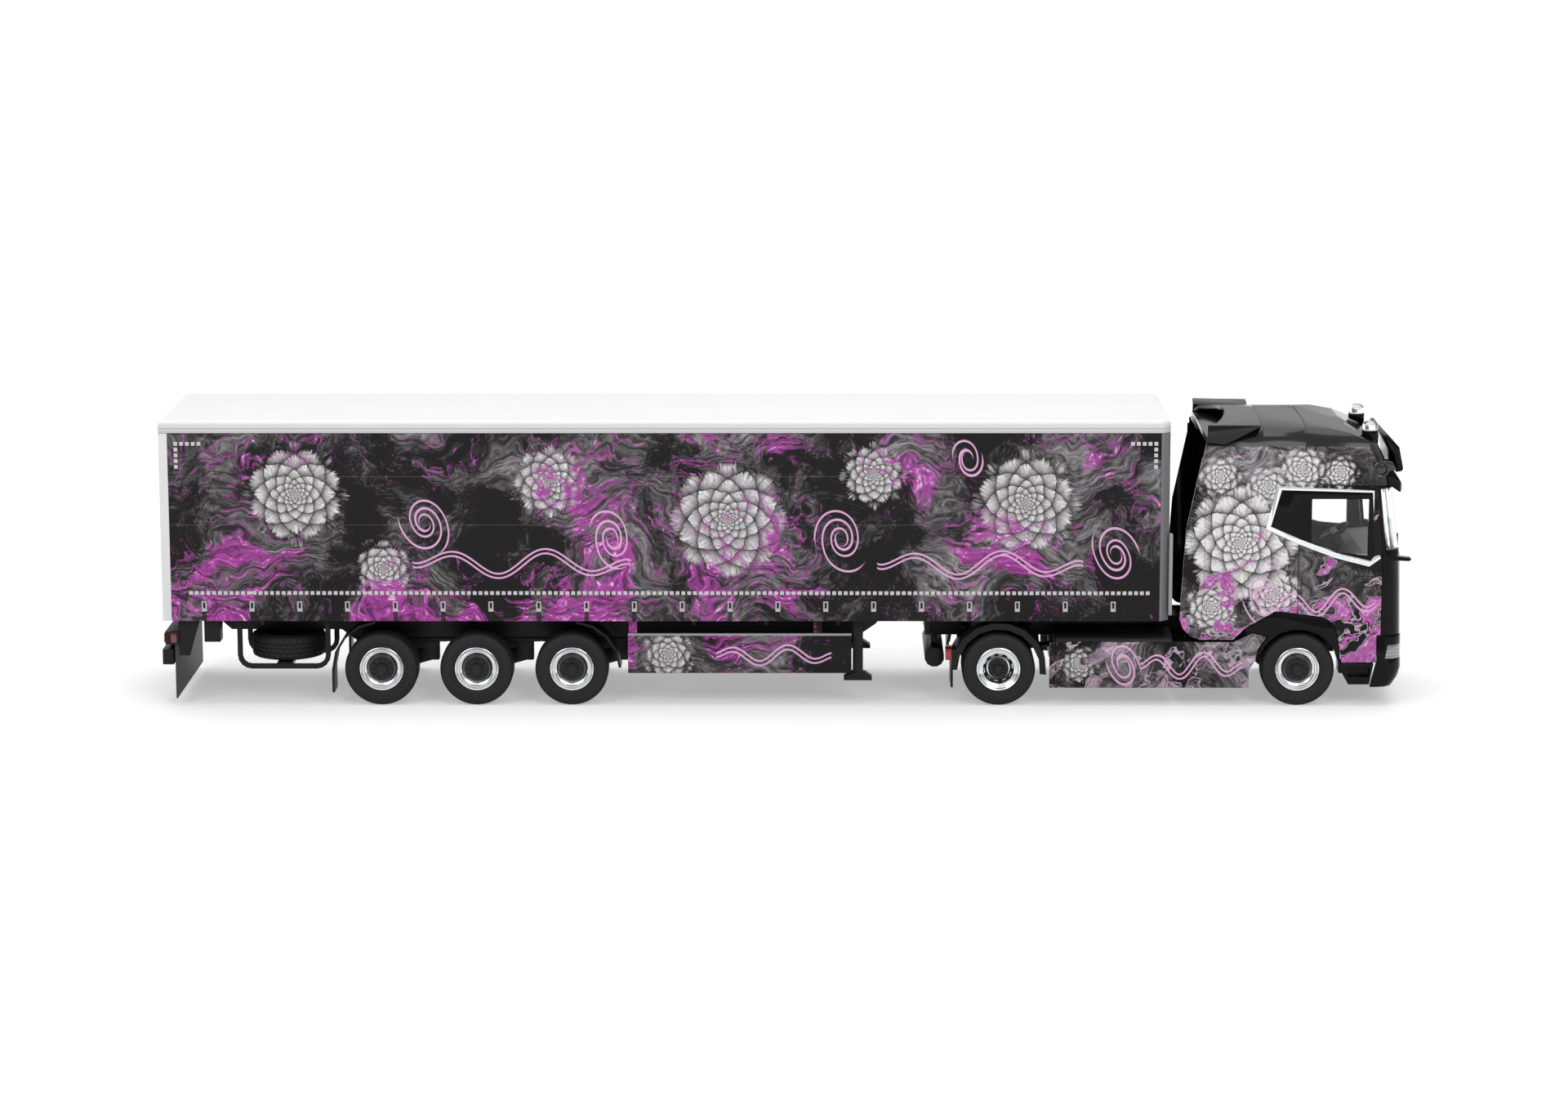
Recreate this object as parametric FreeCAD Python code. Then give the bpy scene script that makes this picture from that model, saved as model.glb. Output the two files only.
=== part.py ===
import FreeCAD, Part
import math
import os

os.makedirs("parts", exist_ok=True)
V = FreeCAD.Vector

# A 1:87 collector's model of an articulated lorry: a two-axle tractor with a high sleeper cab
# and a three-axle curtain-sided semi-trailer. Lengths are in millimetres.
# Stations run forward from the trailer's rear face, +Y is the lorry's left side,
# and heights run up from the floor under the tyres.

# Clearances
seat_gap = 0.04
running_gap = 0.06
panel_gap = 0.15
door_line = 0.12
coupling_gap = 0.06
overlap = 0.1

# Sizes that set where everything stands along the lorry
trailer_length = 156.3
kingpin_setback = 18.4
fifth_wheel_lead = 7.9
cab_gap = 5.5
cab_length = 31.5
front_overhang = 16.8
kingpin_station = trailer_length - kingpin_setback
drive_station = kingpin_station - fifth_wheel_lead
cab_rear = trailer_length + cab_gap
nose = cab_rear + cab_length
front_station = nose - front_overhang

# Half widths: the trailer's box is widest, with the cab and the wheels a little further in
trailer_half = 14.65
cab_inset = 0.35
wheel_inset = 0.45
cab_half = trailer_half - cab_inset
track_half = trailer_half - wheel_inset

# Tyres: each is a ring of short flats, one of which lies on the floor.
tyre_radius = 5.7
tyre_wall = 2.12
tyre_shoulder = 0.55
tyre_shoulder_height = 0.9
sidewall_bulge = 0.3
tyre_flats = 20
single_tyre_width = 4.3
steer_tyre_width = 3.7
twin_tyre_width = 3.15
twin_tyre_space = 0.5
tyre_bore = tyre_radius - tyre_wall
axle_height = tyre_radius

# Rims, hub caps and axle rods
rim_flats = 16
rim_inset = 0.3
rim_lip = 0.5
rim_ring_radius = 2.75
rim_ring_depth = 0.45
single_dish = 0.75
drive_dish = 2.2
hub_flats = 10
hub_radius = 2.3
drive_hub_radius = 1.85
hub_inset = 0.45
hub_edge = 0.25
hub_surround = 0.2
centre_cap_radius = 1.1
centre_cap_height = 0.35
axle_radius = 0.75
tube_flats = 12
trailer_axles = 3
trailer_axle_first = 33.8
trailer_axle_spacing = 14.85

# Tractor frame, fifth wheel and mudguards
mudguard_clearance = 0.75
mudguard_lip = 1.0
mudguard_width = 7.3
mudguard_skin = 0.5
mudguard_flap_low = 2.9
mudguard_start = -6.0
mudguard_end = 180.0
tail_lamp_space = 0.8
tail_lamp_depth = 1.0
tail_lamp_rise = 1.5
tail_lamp_height = 1.7
tail_lamp_width = 3.6
deck_clearance = 0.35
fifth_wheel_build = 1.2
frame_depth = 3.0
frame_half = 4.55
frame_rail = 1.0
frame_tail = 11.35
frame_tail_half = 6.3
frame_front_setback = 6.3
member_inset = 0.4
member_length = 1.0
member_reach = 5.7
air_tank_radius = 1.5
air_tank_height = 6.5
air_tank_half = 8.6
fifth_wheel_half = 5.1
fifth_wheel_rear = 5.6
fifth_wheel_front = 4.6
fifth_wheel_thickness = 0.7
fifth_wheel_jaw = 2.4
fifth_wheel_ramp = 4.8
fifth_wheel_nose = 2.5
pedestal_half = 2.6
kingpin_radius = 0.6
kingpin_length = 1.6
kingpin_plate_thickness = 0.2
kingpin_plate_half = 6.0
kingpin_plate_rear = 6.5
kingpin_plate_front = 9.0

mudguard_inner = tyre_radius + mudguard_clearance
mudguard_outer = mudguard_inner + mudguard_lip
deck_underside = axle_height + mudguard_outer + deck_clearance
frame_high = deck_underside - fifth_wheel_build
frame_low = frame_high - frame_depth

# Semi-trailer box
deck_thickness = 1.1
curtain_thickness = 0.6
curtain_height = 29.5
roof_height = 2.0
roof_thickness = 0.7
roof_edge_radius = 0.7
rear_post = 1.4
front_post = 1.5
front_chamfer = 1.2
wall_thickness = 0.9
door_margin = 1.0
door_recess = 0.2
door_gap = 0.12
lock_rod = 0.32
lock_rod_stand = 0.14
lock_rod_outer = 9.4
lock_rod_inner = 3.2
lock_plate_half = 0.55
lock_plate_height = 1.0
hinge_height = 0.8
hinge_length = 1.6
hinge_count = 3
curtain_top = deck_underside + curtain_height
roof_top = curtain_top + roof_height

# Semi-trailer frame
beam_half_spacing = 6.6
beam_web = 0.8
beam_flange_half = 1.1
beam_flange_thickness = 0.5
beam_depth = 4.6
beam_rear_depth = 2.8
beam_tail_depth = 1.3
beam_tail_start = 2.5
beam_tail_length = 5.5
beam_tail_slope = 1.7
beam_drop_station = 27.0
beam_drop_slope = 2.4
neck_setback = 30.9
neck_slope = 3.9
neck_depth = 1.9
neck_end = 5.5
outrigger_count = 10
outrigger_first = 4.0
outrigger_setback = 32.9
outrigger_inset = 1.8
outrigger_tyre_space = 0.6
outrigger_thickness = 0.6
outrigger_depth = 1.1
wheel_zone_margin = 1.2
hanger_ahead = 7.4
hanger_length = 2.2
hanger_rake = 0.6
hanger_low = 5.9
arm_height = 1.6
arm_half_width = 0.9
arm_tail = 4.2
arm_eye = 1.5
bellows_radius = 1.05
bellows_flats = 8
bellows_behind = 3.1

# Landing legs, side guards, spare wheel and mudguards under the deck
leg_setback = 29.8
leg_half = 0.8
leg_inset = 1.2
leg_width = 1.7
foot_half = 2.2
foot_bottom = 3.8
foot_edge = 0.5
foot_thickness = 1.2
foot_spread = 0.3
leg_shaft_radius = 0.45
leg_shaft_height = 7.6
guard_behind_leg = 1.0
guard_after_axle = 8.8
guard_low = 5.15
guard_high = 11.1
guard_thickness = 0.55
guard_return = 1.6
guard_return_thickness = 0.4
guard_post = 1.3
guard_post_thickness = 0.6
guard_post_setback = 5.9
spare_station = 18.6
spare_in_cage = 6.5
spare_low = 6.65
spare_width = 3.9
spare_disc = 0.8
cage_inset = 0.7
cage_depth = 12.0
cage_half_length = 7.25
cage_low = 5.65
cage_bar = 0.76
cage_bend = 2.2
cradle_half = 1.2
guard_arc_clearance = 2.0
guard_arc_width = 4.4
guard_skin = 0.35
guard_flap_low = 2.0
guard_arc_start = 2.0
guard_arc_end = 84.0
leg_outer = track_half - leg_inset
cage_outer = track_half - cage_inset
guard_arc_radius = tyre_radius + guard_arc_clearance
arc_step = 20.0

# Rear end of the semi-trailer
rear_bar_drop = 1.8
rear_bar_depth = 2.1
rear_bar_thickness = 2.0
rear_bar_inset = 0.2
side_plate_inset = 0.6
side_plate_thickness = 0.6
side_plate_low = 1.9
side_plate_length = 3.3
stay_outer = 9.8
stay_width = 1.0
underrun_overhang = 0.4
underrun_front = 1.3
underrun_low = 6.3
underrun_high = 8.7
underrun_inset = 0.9
rear_lamp_length = 4.5
rear_lamp_margin = 0.3
end_lamp_length = 0.9
end_lamp_stand = 0.12
flap_station = 1.75
flap_low = 1.0
flap_thickness = 0.25
flap_inset = 0.5
locker_rear = 6.2
locker_length = 2.5
locker_inset = 0.8
locker_depth = 3.0
locker_height = 3.6
locker_outer = track_half - locker_inset
flap_half = track_half - flap_inset
underrun_half = track_half - underrun_inset
side_plate_outer = track_half - side_plate_inset

# Tanks, silencer and side skirts of the tractor
tank_after_axle = 8.9
tank_behind_cab = 4.8
tank_low = 3.4
tank_high = 11.1
tank_round = 1.6
silencer_space = 1.0
silencer_setback = 9.3
silencer_high = 8.8
skirt_end_depth = 3.8
skirt_end_length = 1.5
skirt_end_setback = 9.2
skirt_after_axle = 7.9
skirt_low = 2.85
skirt_high = 10.1
skirt_thickness = 0.5

# Springs, engine, gearbox and shaft
spring_half = 6.0
spring_eye = 1.7
spring_end = 1.2
spring_low = 1.2
spring_high = 1.5
spring_end_height = 1.0
engine_rear_setback = 8.0
engine_front = 6.0
engine_low = 6.9
gearbox_rear = 1.8
gearbox_half = 2.2
gearbox_low = 8.0
gearbox_high = 10.6
gearbox_flare = 0.6
gearbox_flare_high = 1.2
shaft_radius = 0.5
shaft_high = 9.2
shaft_flats = 8
differential_radius = 2.4
differential_half = 1.7

# Cab shell
cab_wall = 0.9
cab_low = 10.5
corner_length = 3.5
corner_width = 3.9
corner_flats = 4
corner_mid_ahead = 0.62
corner_mid_in = 0.24
front_bulge = 0.9
front_flats = 4
roof_seam = 34.8
spring_rise = 2.7
shoulder_rise = 8.7
crown_rise = 1.1
shoulder_inset = 2.3
shoulder_bow = 0.55
bow_drop = 2.2
rear_deck_drop = 2.3
deflector_drop = 3.2
deflector_thickness = 0.7
fin_space = 0.2
spoiler_length = 8.8
spoiler_skin = 0.6
spoiler_flats = 12
spoiler_sweep = 50.0
spoiler_hollow_radius = 24.7
spoiler_hollow_depth = 3.9
groove_width = 0.25
groove_depth = 0.15
crease_depth = 0.12
shoulder_half = cab_half - shoulder_inset
roof_spring = roof_seam + spring_rise
roof_shoulder = roof_seam + shoulder_rise
roof_crown = roof_shoulder + crown_rise
rear_deck_high = roof_crown - rear_deck_drop
deflector_top = roof_crown - deflector_drop

# Doors, windows and arches of the cab
door_rear_offset = 0.2
door_front_setback = 4.0
door_low = 6.9
pillar_lean = 1.0
window_after_line = 1.9
window_before_line = 2.3
window_drop = 2.1
belt_front = 24.4
glass_reveal = 0.1
glass_thickness = 0.5
glass_margin = 0.2
glass_top_margin = 0.6
glass_side_margin = 0.5
side_glass_inset = 0.25
side_glass_thickness = 0.4
surround_stand = 0.12
trim_stand = 0.18
fender_clearance = 0.65
fender_width = 3.6
fender_foot = 3.4
fender_back_low = 5.2
fender_foot_land = 0.5
fender_foot_chamfer = 1.0
fender_rear_space = 1.0
fender_rear_low = 8.2
fender_tip = 0.6
step_inset = 0.9
step_depth = 1.4
step_low = 4.6
step_high = 6.2
handle_behind = 1.0
handle_length = 1.9
handle_drop = 3.4
handle_height = 0.7
handle_depth = 0.2
camera_length = 1.7
camera_height = 0.6
camera_reach = 0.3
camera_setback = 8.2

# Front end: bumper, grille, lamps and beacons
bumper_top = 11.2
bumper_low = 3.0
bumper_rear_setback = 4.7
bumper_thickness = 1.0
bumper_sweep = 1.0
bumper_notch = 0.5
grille_half = 9.2
grille_low = 12.4
grille_pitch = 2.3
grille_slot = 1.1
grille_slots = 4
grille_depth = 0.3
intake_half = 7.0
intake_low = 5.0
intake_high = 6.6
lamp_length = 6.1
ledge_width = 1.5
visor_inset = 1.1
front_margin = 0.24
marker_inset = 0.9
marker_width = 2.5
light_box_half = 8.9
beacon_setback = 5.7
beacon_width = 8.7
beacon_radius = 1.3
beacon_flats = 12
beacon_seat_drop = 4.0
beacon_base_height = 2.0
beacon_dome_height = 1.4
beacon_round = 0.4
nose_rest = 0.4
visor_half = cab_half - visor_inset
marker_outer = cab_half - marker_inset
marker_inner = marker_outer - marker_width

# Inside the cab
floor_height = 15.2
floor_thickness = 0.8
bunk_setback = 8.1
bunk_high = 20.6
seat_inset = 7.3
seat_half = 2.8
headrest_half = 1.4
seat_high = 19.4
seat_front_setback = 0.3
seat_rear_setback = 5.9
dash_inset = 1.3
wheel_setback = 9.0
wheel_height = 23.9
wheel_ring_radius = 2.4
wheel_rim_radius = 0.24
wheel_tilt = 30.0
wheel_flats = 12
wheel_rim_flats = 5
column_length = 2.6
column_half = 0.45
spoke_half = 0.5
spoke_thickness = 0.3

door_rear = front_station - door_rear_offset
door_front = nose - door_front_setback
bumper_rear = nose - bumper_rear_setback
spoiler_front = cab_rear + spoiler_length
fender_well = tyre_radius + fender_clearance
beyond = 2 * (nose + trailer_half)

# Outlines. A point is a distance ahead of the station named in the comment, then a height
# above the level named there, which is the floor where none is.
# Wheel arch, from the front axle
arch_outline = [(-10.1, cab_low), (-8.3, 12.3), (-3.8, 14.9), (-2.9, 15.0), (3.8, 14.1), (5.2, 13.2),
                (5.9, 11.9), (6.4, 9.5), (6.8, door_low)]
# Front end of the side skirt, from the front axle
skirt_nose = [(-7.6, skirt_low), (-7.6, 5.7), (-6.6, 7.2), (-6.3, 8.9), (-4.9, 11.0), (-7.1, 11.5),
              (-10.1, skirt_high)]
# Cab front seen from the side, from the nose; its upper points from the roof seam
front_lower = [(0.0, 6.0), (-0.4, 23.5)]
front_upper = [(-1.8, -0.8), (-2.6, 2.7), (-4.3, 6.2), (-8.3, 11.2)]
# Roof line, from the nose and the roof's crown
roof_profile = [(-16.3, -0.4), (-9.3, -1.8), (-5.0, -3.6), (3.7, -8.6)]
# Bumper seen from the side, from the nose
bumper_profile = [(-1.2, bumper_low), (-0.3, 4.4), (0.1, 5.8), (0.0, bumper_top - panel_gap)]
# Headlamp and dashboard, from the nose
headlamp_outline = [(-2.9, 9.6), (-3.3, 7.5), (6.7, 7.2), (6.7, 9.7)]
dash_outline = [(-7.1, floor_height), (-3.7, floor_height), (-2.3, 22.6), (-2.9, 23.6), (-6.3, 23.2),
                (-7.9, 21.6), (-7.4, 19.4), (-6.3, 18.6)]
# Wiper ledge, from the nose and the belt line
ledge_outline = [(-3.7, -1.3), (0.0, -1.5), (nose_rest, -1.4), (nose_rest, -1.0), (-3.7, -0.6)]
# Sun visor, marker lamp and the crease along the roof's side, from the nose and the roof seam
visor_outline = [(-4.9, 1.4), (-2.4, 2.1), (-1.1, 0.1), (-0.9, -0.9), (-1.3, -1.2), (-1.5, -1.2),
                 (-2.7, -0.4), (-4.9, -0.3)]
marker_outline = [(-4.7, 3.9), (-2.7, 3.5), (-2.1, 2.3), (-2.7, 2.2), (-4.7, 1.7)]
crease_outline = [(-22.0, 5.6), (-4.8, 2.8), (-4.8, 3.4), (-22.0, 6.2)]
# Light box, from the nose and the roof's crown
light_box_outline = [(-3.6, -2.9), (-3.0, -2.7), (-1.1, -4.7), (-0.4, -8.1), (-0.7, -8.5), (-1.6, -8.6),
                     (-2.0, -6.0)]
# Side deflector, from the cab's rear face, and the fin over it, from there and the roof's crown
deflector_outline = [(-3.8, 13.8), (-2.9, 28.0), (-0.1, deflector_top), (-seat_gap, deflector_top),
                     (-seat_gap, cab_low), (-0.6, cab_low), (-2.1, 11.0), (-3.3, 12.3)]
fin_outline = [(0.1, -0.4), (8.6, -0.3), (2.9, -3.4), (0.1, -3.1)]
# Seat back and headrest, from the front axle
seat_back_outline = [(-6.6, 18.6), (-4.6, 18.6), (-6.1, 27.6), (-7.6, 27.6)]
headrest_outline = [(-7.6, 27.5), (-6.1, 27.5), (-6.4, 29.6), (-7.6, 29.6)]


def shifted(points, station, level=0):
    return [(station + x, level + z) for x, z in points]


def box(x0, x1, y0, y1, z0, z1):
    return Part.makeBox(x1 - x0, y1 - y0, z1 - z0, V(x0, y0, z0))


def side_prism(points, y0, y1):
    """A slab between two widths with an outline given as (station, height) points."""
    outline = [V(x, y0, z) for x, z in points]
    face = Part.Face(Part.makePolygon(outline + outline[:1]))
    return face.extrude(V(0, y1 - y0, 0))


def plan_prism(points, z0, z1):
    """A slab between two heights with an outline given as (station, width) points."""
    outline = [V(x, y, z0) for x, y in points]
    face = Part.Face(Part.makePolygon(outline + outline[:1]))
    return face.extrude(V(0, 0, z1 - z0))


def upright_rod(station, width, radius, z0, z1):
    return Part.makeCylinder(radius, z1 - z0, V(station, width, z0), V(0, 0, 1))


def skinned(rings, closed):
    """A solid with flat sides through rings of equally many points, in a loop or with end faces."""
    pairs = list(zip(rings, rings[1:]))
    if closed:
        pairs.append((rings[-1], rings[0]))
    faces = []
    for low, high in pairs:
        for k in range(len(low)):
            m = (k + 1) % len(low)
            faces.append(Part.Face(Part.makePolygon([low[k], low[m], high[m], high[k], low[k]])))
    if not closed:
        for end in (rings[0], rings[-1]):
            faces.append(Part.Face(Part.makePolygon(end + end[:1])))
    return Part.makeSolid(Part.makeShell(faces))


def turned_across(points, station, height, flats, closed=True):
    """A body with flat sides about a crosswise axis, one side lowest; points are (radius, width)."""
    turn = 2 * math.pi / flats
    reach = 1 / math.cos(turn / 2)
    rings = []
    for radius, y in points:
        rings.append([V(station + radius * reach * math.sin(turn * (k + 0.5)), y,
                        height - radius * reach * math.cos(turn * (k + 0.5))) for k in range(flats)])
    return skinned(rings, closed)


def turned_up(points, station, width, flats):
    """A body with flat sides about an upright axis; points are (radius, height)."""
    turn = 2 * math.pi / flats
    rings = []
    for radius, z in points:
        rings.append([V(station + radius * math.cos(turn * k), width + radius * math.sin(turn * k), z)
                      for k in range(flats)])
    return skinned(rings, False)


def arc_points(station, height, radius, start, end):
    """Points along an arc about a crosswise axis, between angles measured up from dead ahead."""
    count = max(2, round(abs(end - start) / arc_step))
    points = []
    for k in range(count + 1):
        angle = math.radians(start + (end - start) * k / count)
        points.append((station + radius * math.cos(angle), height + radius * math.sin(angle)))
    return points


def ring_sector(station, height, r0, r1, start, end, y0, y1):
    """A curved plate about a crosswise axis."""
    outline = arc_points(station, height, r1, start, end) + arc_points(station, height, r0, end, start)
    return side_prism(outline, y0, y1)


def grown(points, amount):
    """The outline moved outwards all round by an amount, or inwards by a negative one."""
    wire = Part.makePolygon([V(x, 0, z) for x, z in points + points[:1]])
    return wire.makeOffset2D(amount, 2)


def plate_of(wire, y0, y1):
    face = Part.Face(wire)
    face.translate(V(0, y0, 0))
    return face.extrude(V(0, y1 - y0, 0))


def axle_bearing(station, y0, y1):
    """The bore in which an axle rod turns."""
    bore = axle_radius + running_gap
    return turned_across([(bore, y0), (bore, y1)], station, axle_height, tube_flats, False)


def other_side(shape):
    return shape.mirror(V(0, 0, 0), V(0, 1, 0))


def both_sides(shape):
    return [shape, other_side(shape)]


def fused(shapes):
    whole = shapes[0].fuse(shapes[1:]) if len(shapes) > 1 else shapes[0]
    return whole.removeSplitter()


# The origin lies on the floor under the middle of the whole lorry.
middle = (nose + nose_rest - underrun_overhang) / 2


def save(node, shapes):
    solids = []
    for shape in shapes:
        solids += shape.Solids
    piece = solids[0] if len(solids) == 1 else Part.makeCompound(solids)
    piece.translate(V(-middle, 0, 0))
    piece.exportStep("parts/" + node + ".step")


# Wheels: each axle is one turning body of a rod with hub caps, bright rims and tyres.
def tyre(outer, width, station, height):
    """A tyre whose outer sidewall lies at the given width and which reaches inwards."""
    half = [(tyre_bore, outer - sidewall_bulge), (tyre_radius - tyre_shoulder_height, outer),
            (tyre_radius, outer - tyre_shoulder)]
    rest = [(r, 2 * outer - width - y) for r, y in reversed(half)]
    return turned_across(half + rest, station, height, tyre_flats)


def rim(outer, width, dish, cap_radius, station, height):
    """A bright rim: a core that fills the tyre, a flat lip and a dished disc round the hub cap."""
    seat = (tyre_bore - seat_gap) * math.cos(math.pi / rim_flats)
    face = outer - rim_inset
    disc = face - dish
    back = outer - width + rim_inset
    bore = axle_radius + seat_gap
    profile = [(bore, back), (seat, back), (seat, face), (seat - rim_lip, face),
               (rim_ring_radius, face - rim_ring_depth), (cap_radius + hub_surround, disc), (bore, disc)]
    return turned_across(profile, station, height, rim_flats)


def hub_cap(outer, dish, cap_radius, station, height):
    """The dark hub that stands out of the rim's disc, with its raised centre."""
    disc = outer - rim_inset - dish + seat_gap
    stand = outer - hub_inset
    profile = [(cap_radius, disc), (cap_radius, stand - hub_edge), (cap_radius - hub_edge, stand),
               (centre_cap_radius, stand), (centre_cap_radius - seat_gap, stand + centre_cap_height)]
    return turned_across(profile, station, height, hub_flats, False)


def axle_set(name, station, tyre_width, dish, cap_radius, tyres_per_side=1):
    z = axle_height
    rod_end = track_half - rim_inset - dish + seat_gap + overlap
    rod = turned_across([(axle_radius, -rod_end), (axle_radius, rod_end)], station, z, tube_flats, False)
    caps = both_sides(hub_cap(track_half, dish, cap_radius, station, z))
    save(name + "_axle", [fused([rod] + caps)])
    tyres = []
    for i in range(tyres_per_side):
        outer = track_half - i * (tyre_width + twin_tyre_space)
        tyres += both_sides(tyre(outer, tyre_width, station, z))
    rim_width = tyres_per_side * tyre_width + (tyres_per_side - 1) * twin_tyre_space
    save(name + "_rims", both_sides(rim(track_half, rim_width, dish, cap_radius, station, z)))
    save(name + "_tyres", tyres)


axle_set("front", front_station, steer_tyre_width, single_dish, hub_radius)
axle_set("drive", drive_station, twin_tyre_width, drive_dish, drive_hub_radius, 2)
for n in range(trailer_axles):
    station = trailer_axle_first + (trailer_axles - 1 - n) * trailer_axle_spacing
    axle_set("trailer_" + str(n + 1), station, single_tyre_width, single_dish, hub_radius)
last_axle = trailer_axle_first
first_axle = trailer_axle_first + (trailer_axles - 1) * trailer_axle_spacing


# Semi-trailer box: deck, curtains, roof with its side rails, front wall and rear doors.
deck_top = deck_underside + deck_thickness
inner_half = trailer_half - curtain_thickness
box_front = trailer_length - front_post

deck = box(rear_post, box_front, -inner_half + seat_gap, inner_half - seat_gap, deck_underside, deck_top)
save("trailer_deck", [deck])

curtain = box(rear_post, box_front, -trailer_half, -inner_half, deck_underside, curtain_top)
save("trailer_curtains", both_sides(curtain))


def box_plan(rear):
    """The trailer's outline in plan from a rear station to the front, with chamfered corners."""
    right = [(rear, -trailer_half), (trailer_length - front_chamfer, -trailer_half),
             (trailer_length, -trailer_half + front_chamfer)]
    return right + [(x, -y) for x, y in reversed(right)]


roof = plan_prism(box_plan(0), curtain_top, roof_top)
top_edges = [e for e in roof.Edges if all(abs(v.Z - roof_top) < seat_gap for v in e.Vertexes)]
roof = roof.makeFillet(roof_edge_radius, top_edges)
roof_hollow = box(wall_thickness, trailer_length - wall_thickness, -inner_half, inner_half,
                  curtain_top - overlap, roof_top - roof_thickness)
save("trailer_roof", [roof.cut(roof_hollow)])

save("trailer_front_wall", [plan_prism(box_plan(box_front), deck_underside, curtain_top)])

leaf_outer = trailer_half - door_margin
leaf_low = deck_underside + door_margin
leaf_high = curtain_top - door_margin


def rear_doors():
    """The rear frame with two closed leaves, their lock rods, rod plates and hinges."""
    frame = box(0, rear_post, -trailer_half, trailer_half, deck_underside, curtain_top)
    rebate = box(-overlap, door_recess, -leaf_outer - door_gap, leaf_outer + door_gap,
                 leaf_low - door_gap, leaf_high + door_gap)
    pieces = [box(0, door_recess, -leaf_outer, -door_gap / 2, leaf_low, leaf_high)]
    plate_face = -lock_rod_stand / 2
    for y in (-lock_rod_outer, -lock_rod_inner):
        pieces.append(box(-lock_rod_stand, 0, y - lock_rod / 2, y + lock_rod / 2, leaf_low, leaf_high))
        for z in (leaf_low, leaf_high - lock_plate_height):
            pieces.append(box(plate_face, 0, y - lock_plate_half, y + lock_plate_half,
                              z, z + lock_plate_height))
    for n in range(hinge_count):
        z = leaf_low + (leaf_high - leaf_low) * (n + 0.5) / hinge_count
        pieces.append(box(plate_face, door_recess, -leaf_outer - door_gap, -leaf_outer + hinge_length,
                          z - hinge_height / 2, z + hinge_height / 2))
    return fused([frame.cut(rebate)] + pieces + [other_side(p) for p in pieces])


save("trailer_rear_doors", [rear_doors()])


# Frame beams with tapering ends, joined by outriggers under the deck, and a small locker.
under_deck = deck_underside - seat_gap
beam_low = deck_underside - beam_depth
beam_rear_low = deck_underside - beam_rear_depth
beam_tail_low = deck_underside - beam_tail_depth
neck_station = kingpin_station - neck_setback


def frame_beam():
    tail_end = beam_tail_start + beam_tail_length
    drop_end = beam_drop_station + beam_drop_slope
    web = side_prism([(beam_tail_start, under_deck), (beam_tail_start, beam_tail_low),
                      (tail_end, beam_tail_low), (tail_end + beam_tail_slope, beam_rear_low),
                      (beam_drop_station, beam_rear_low), (drop_end, beam_low), (neck_station, beam_low),
                      (neck_station + neck_slope, deck_underside - neck_depth),
                      (neck_station + neck_end, under_deck)],
                     beam_half_spacing, beam_half_spacing + beam_web)
    centre = beam_half_spacing + beam_web / 2
    flange = box(drop_end, neck_station, centre - beam_flange_half, centre + beam_flange_half,
                 beam_low, beam_low + beam_flange_thickness)
    return fused([web, flange])


beams = both_sides(frame_beam())
outriggers = []
outrigger_last = kingpin_station - outrigger_setback
outrigger_half = track_half - outrigger_inset
half_at_wheels = track_half - single_tyre_width - outrigger_tyre_space
wheel_zone = guard_arc_radius + wheel_zone_margin
for n in range(outrigger_count):
    x = outrigger_first + n * (outrigger_last - outrigger_first) / (outrigger_count - 1)
    by_wheels = last_axle - wheel_zone < x < first_axle + wheel_zone
    half = half_at_wheels if by_wheels else outrigger_half
    outriggers.append(box(x - outrigger_thickness / 2, x + outrigger_thickness / 2, -half, half,
                          under_deck - outrigger_depth, under_deck))
locker = box(locker_rear, locker_rear + locker_length, -locker_outer, -locker_outer + locker_depth,
             deck_underside - locker_height, under_deck)
save("trailer_frame", [fused(beams + outriggers), locker])

plate = box(kingpin_station - kingpin_plate_rear, kingpin_station + kingpin_plate_front,
            -kingpin_plate_half, kingpin_plate_half,
            deck_underside - kingpin_plate_thickness, deck_underside)
kingpin = upright_rod(kingpin_station, 0, kingpin_radius, deck_underside - kingpin_length, deck_underside)
save("kingpin_plate", [fused([plate, kingpin])])


# What hangs under the deck: landing legs, side guards, spare wheel, axle arms and mudguards.
leg_station = kingpin_station - leg_setback


def landing_leg():
    x = leg_station
    foot_top = foot_bottom + foot_thickness
    post = box(x - leg_half, x + leg_half, -leg_outer, -leg_outer + leg_width,
               foot_top - overlap, under_deck)
    half = [(x + foot_half, foot_bottom), (x + foot_half, foot_bottom + foot_edge),
            (x + foot_half / 2, foot_top)]
    rest = [(2 * x - px, pz) for px, pz in reversed(half)]
    foot = side_prism(half + rest, -leg_outer - foot_spread, -leg_outer + leg_width + foot_spread)
    return fused([post, foot])


shaft_half = leg_outer - leg_width + overlap
leg_shaft = turned_across([(leg_shaft_radius, -shaft_half), (leg_shaft_radius, shaft_half)], leg_station,
                          leg_shaft_height, tube_flats, False)
save("landing_legs", [fused(both_sides(landing_leg()) + [leg_shaft])])


def side_guard():
    outer = -track_half
    rear = first_axle + guard_after_axle
    front = leg_station - guard_behind_leg
    panel = box(rear, front, outer, outer + guard_thickness, guard_low, guard_high)
    top = box(rear, front, outer, outer + guard_return, guard_high - guard_return_thickness, guard_high)
    pieces = [panel, top]
    inside = outer + guard_thickness
    for x in (rear + overlap, front - guard_post_setback):
        pieces.append(box(x, x + guard_post, inside, inside + guard_post_thickness,
                          guard_high - guard_return_thickness, under_deck))
    return fused(pieces)


save("side_guards", both_sides(side_guard()))


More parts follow.
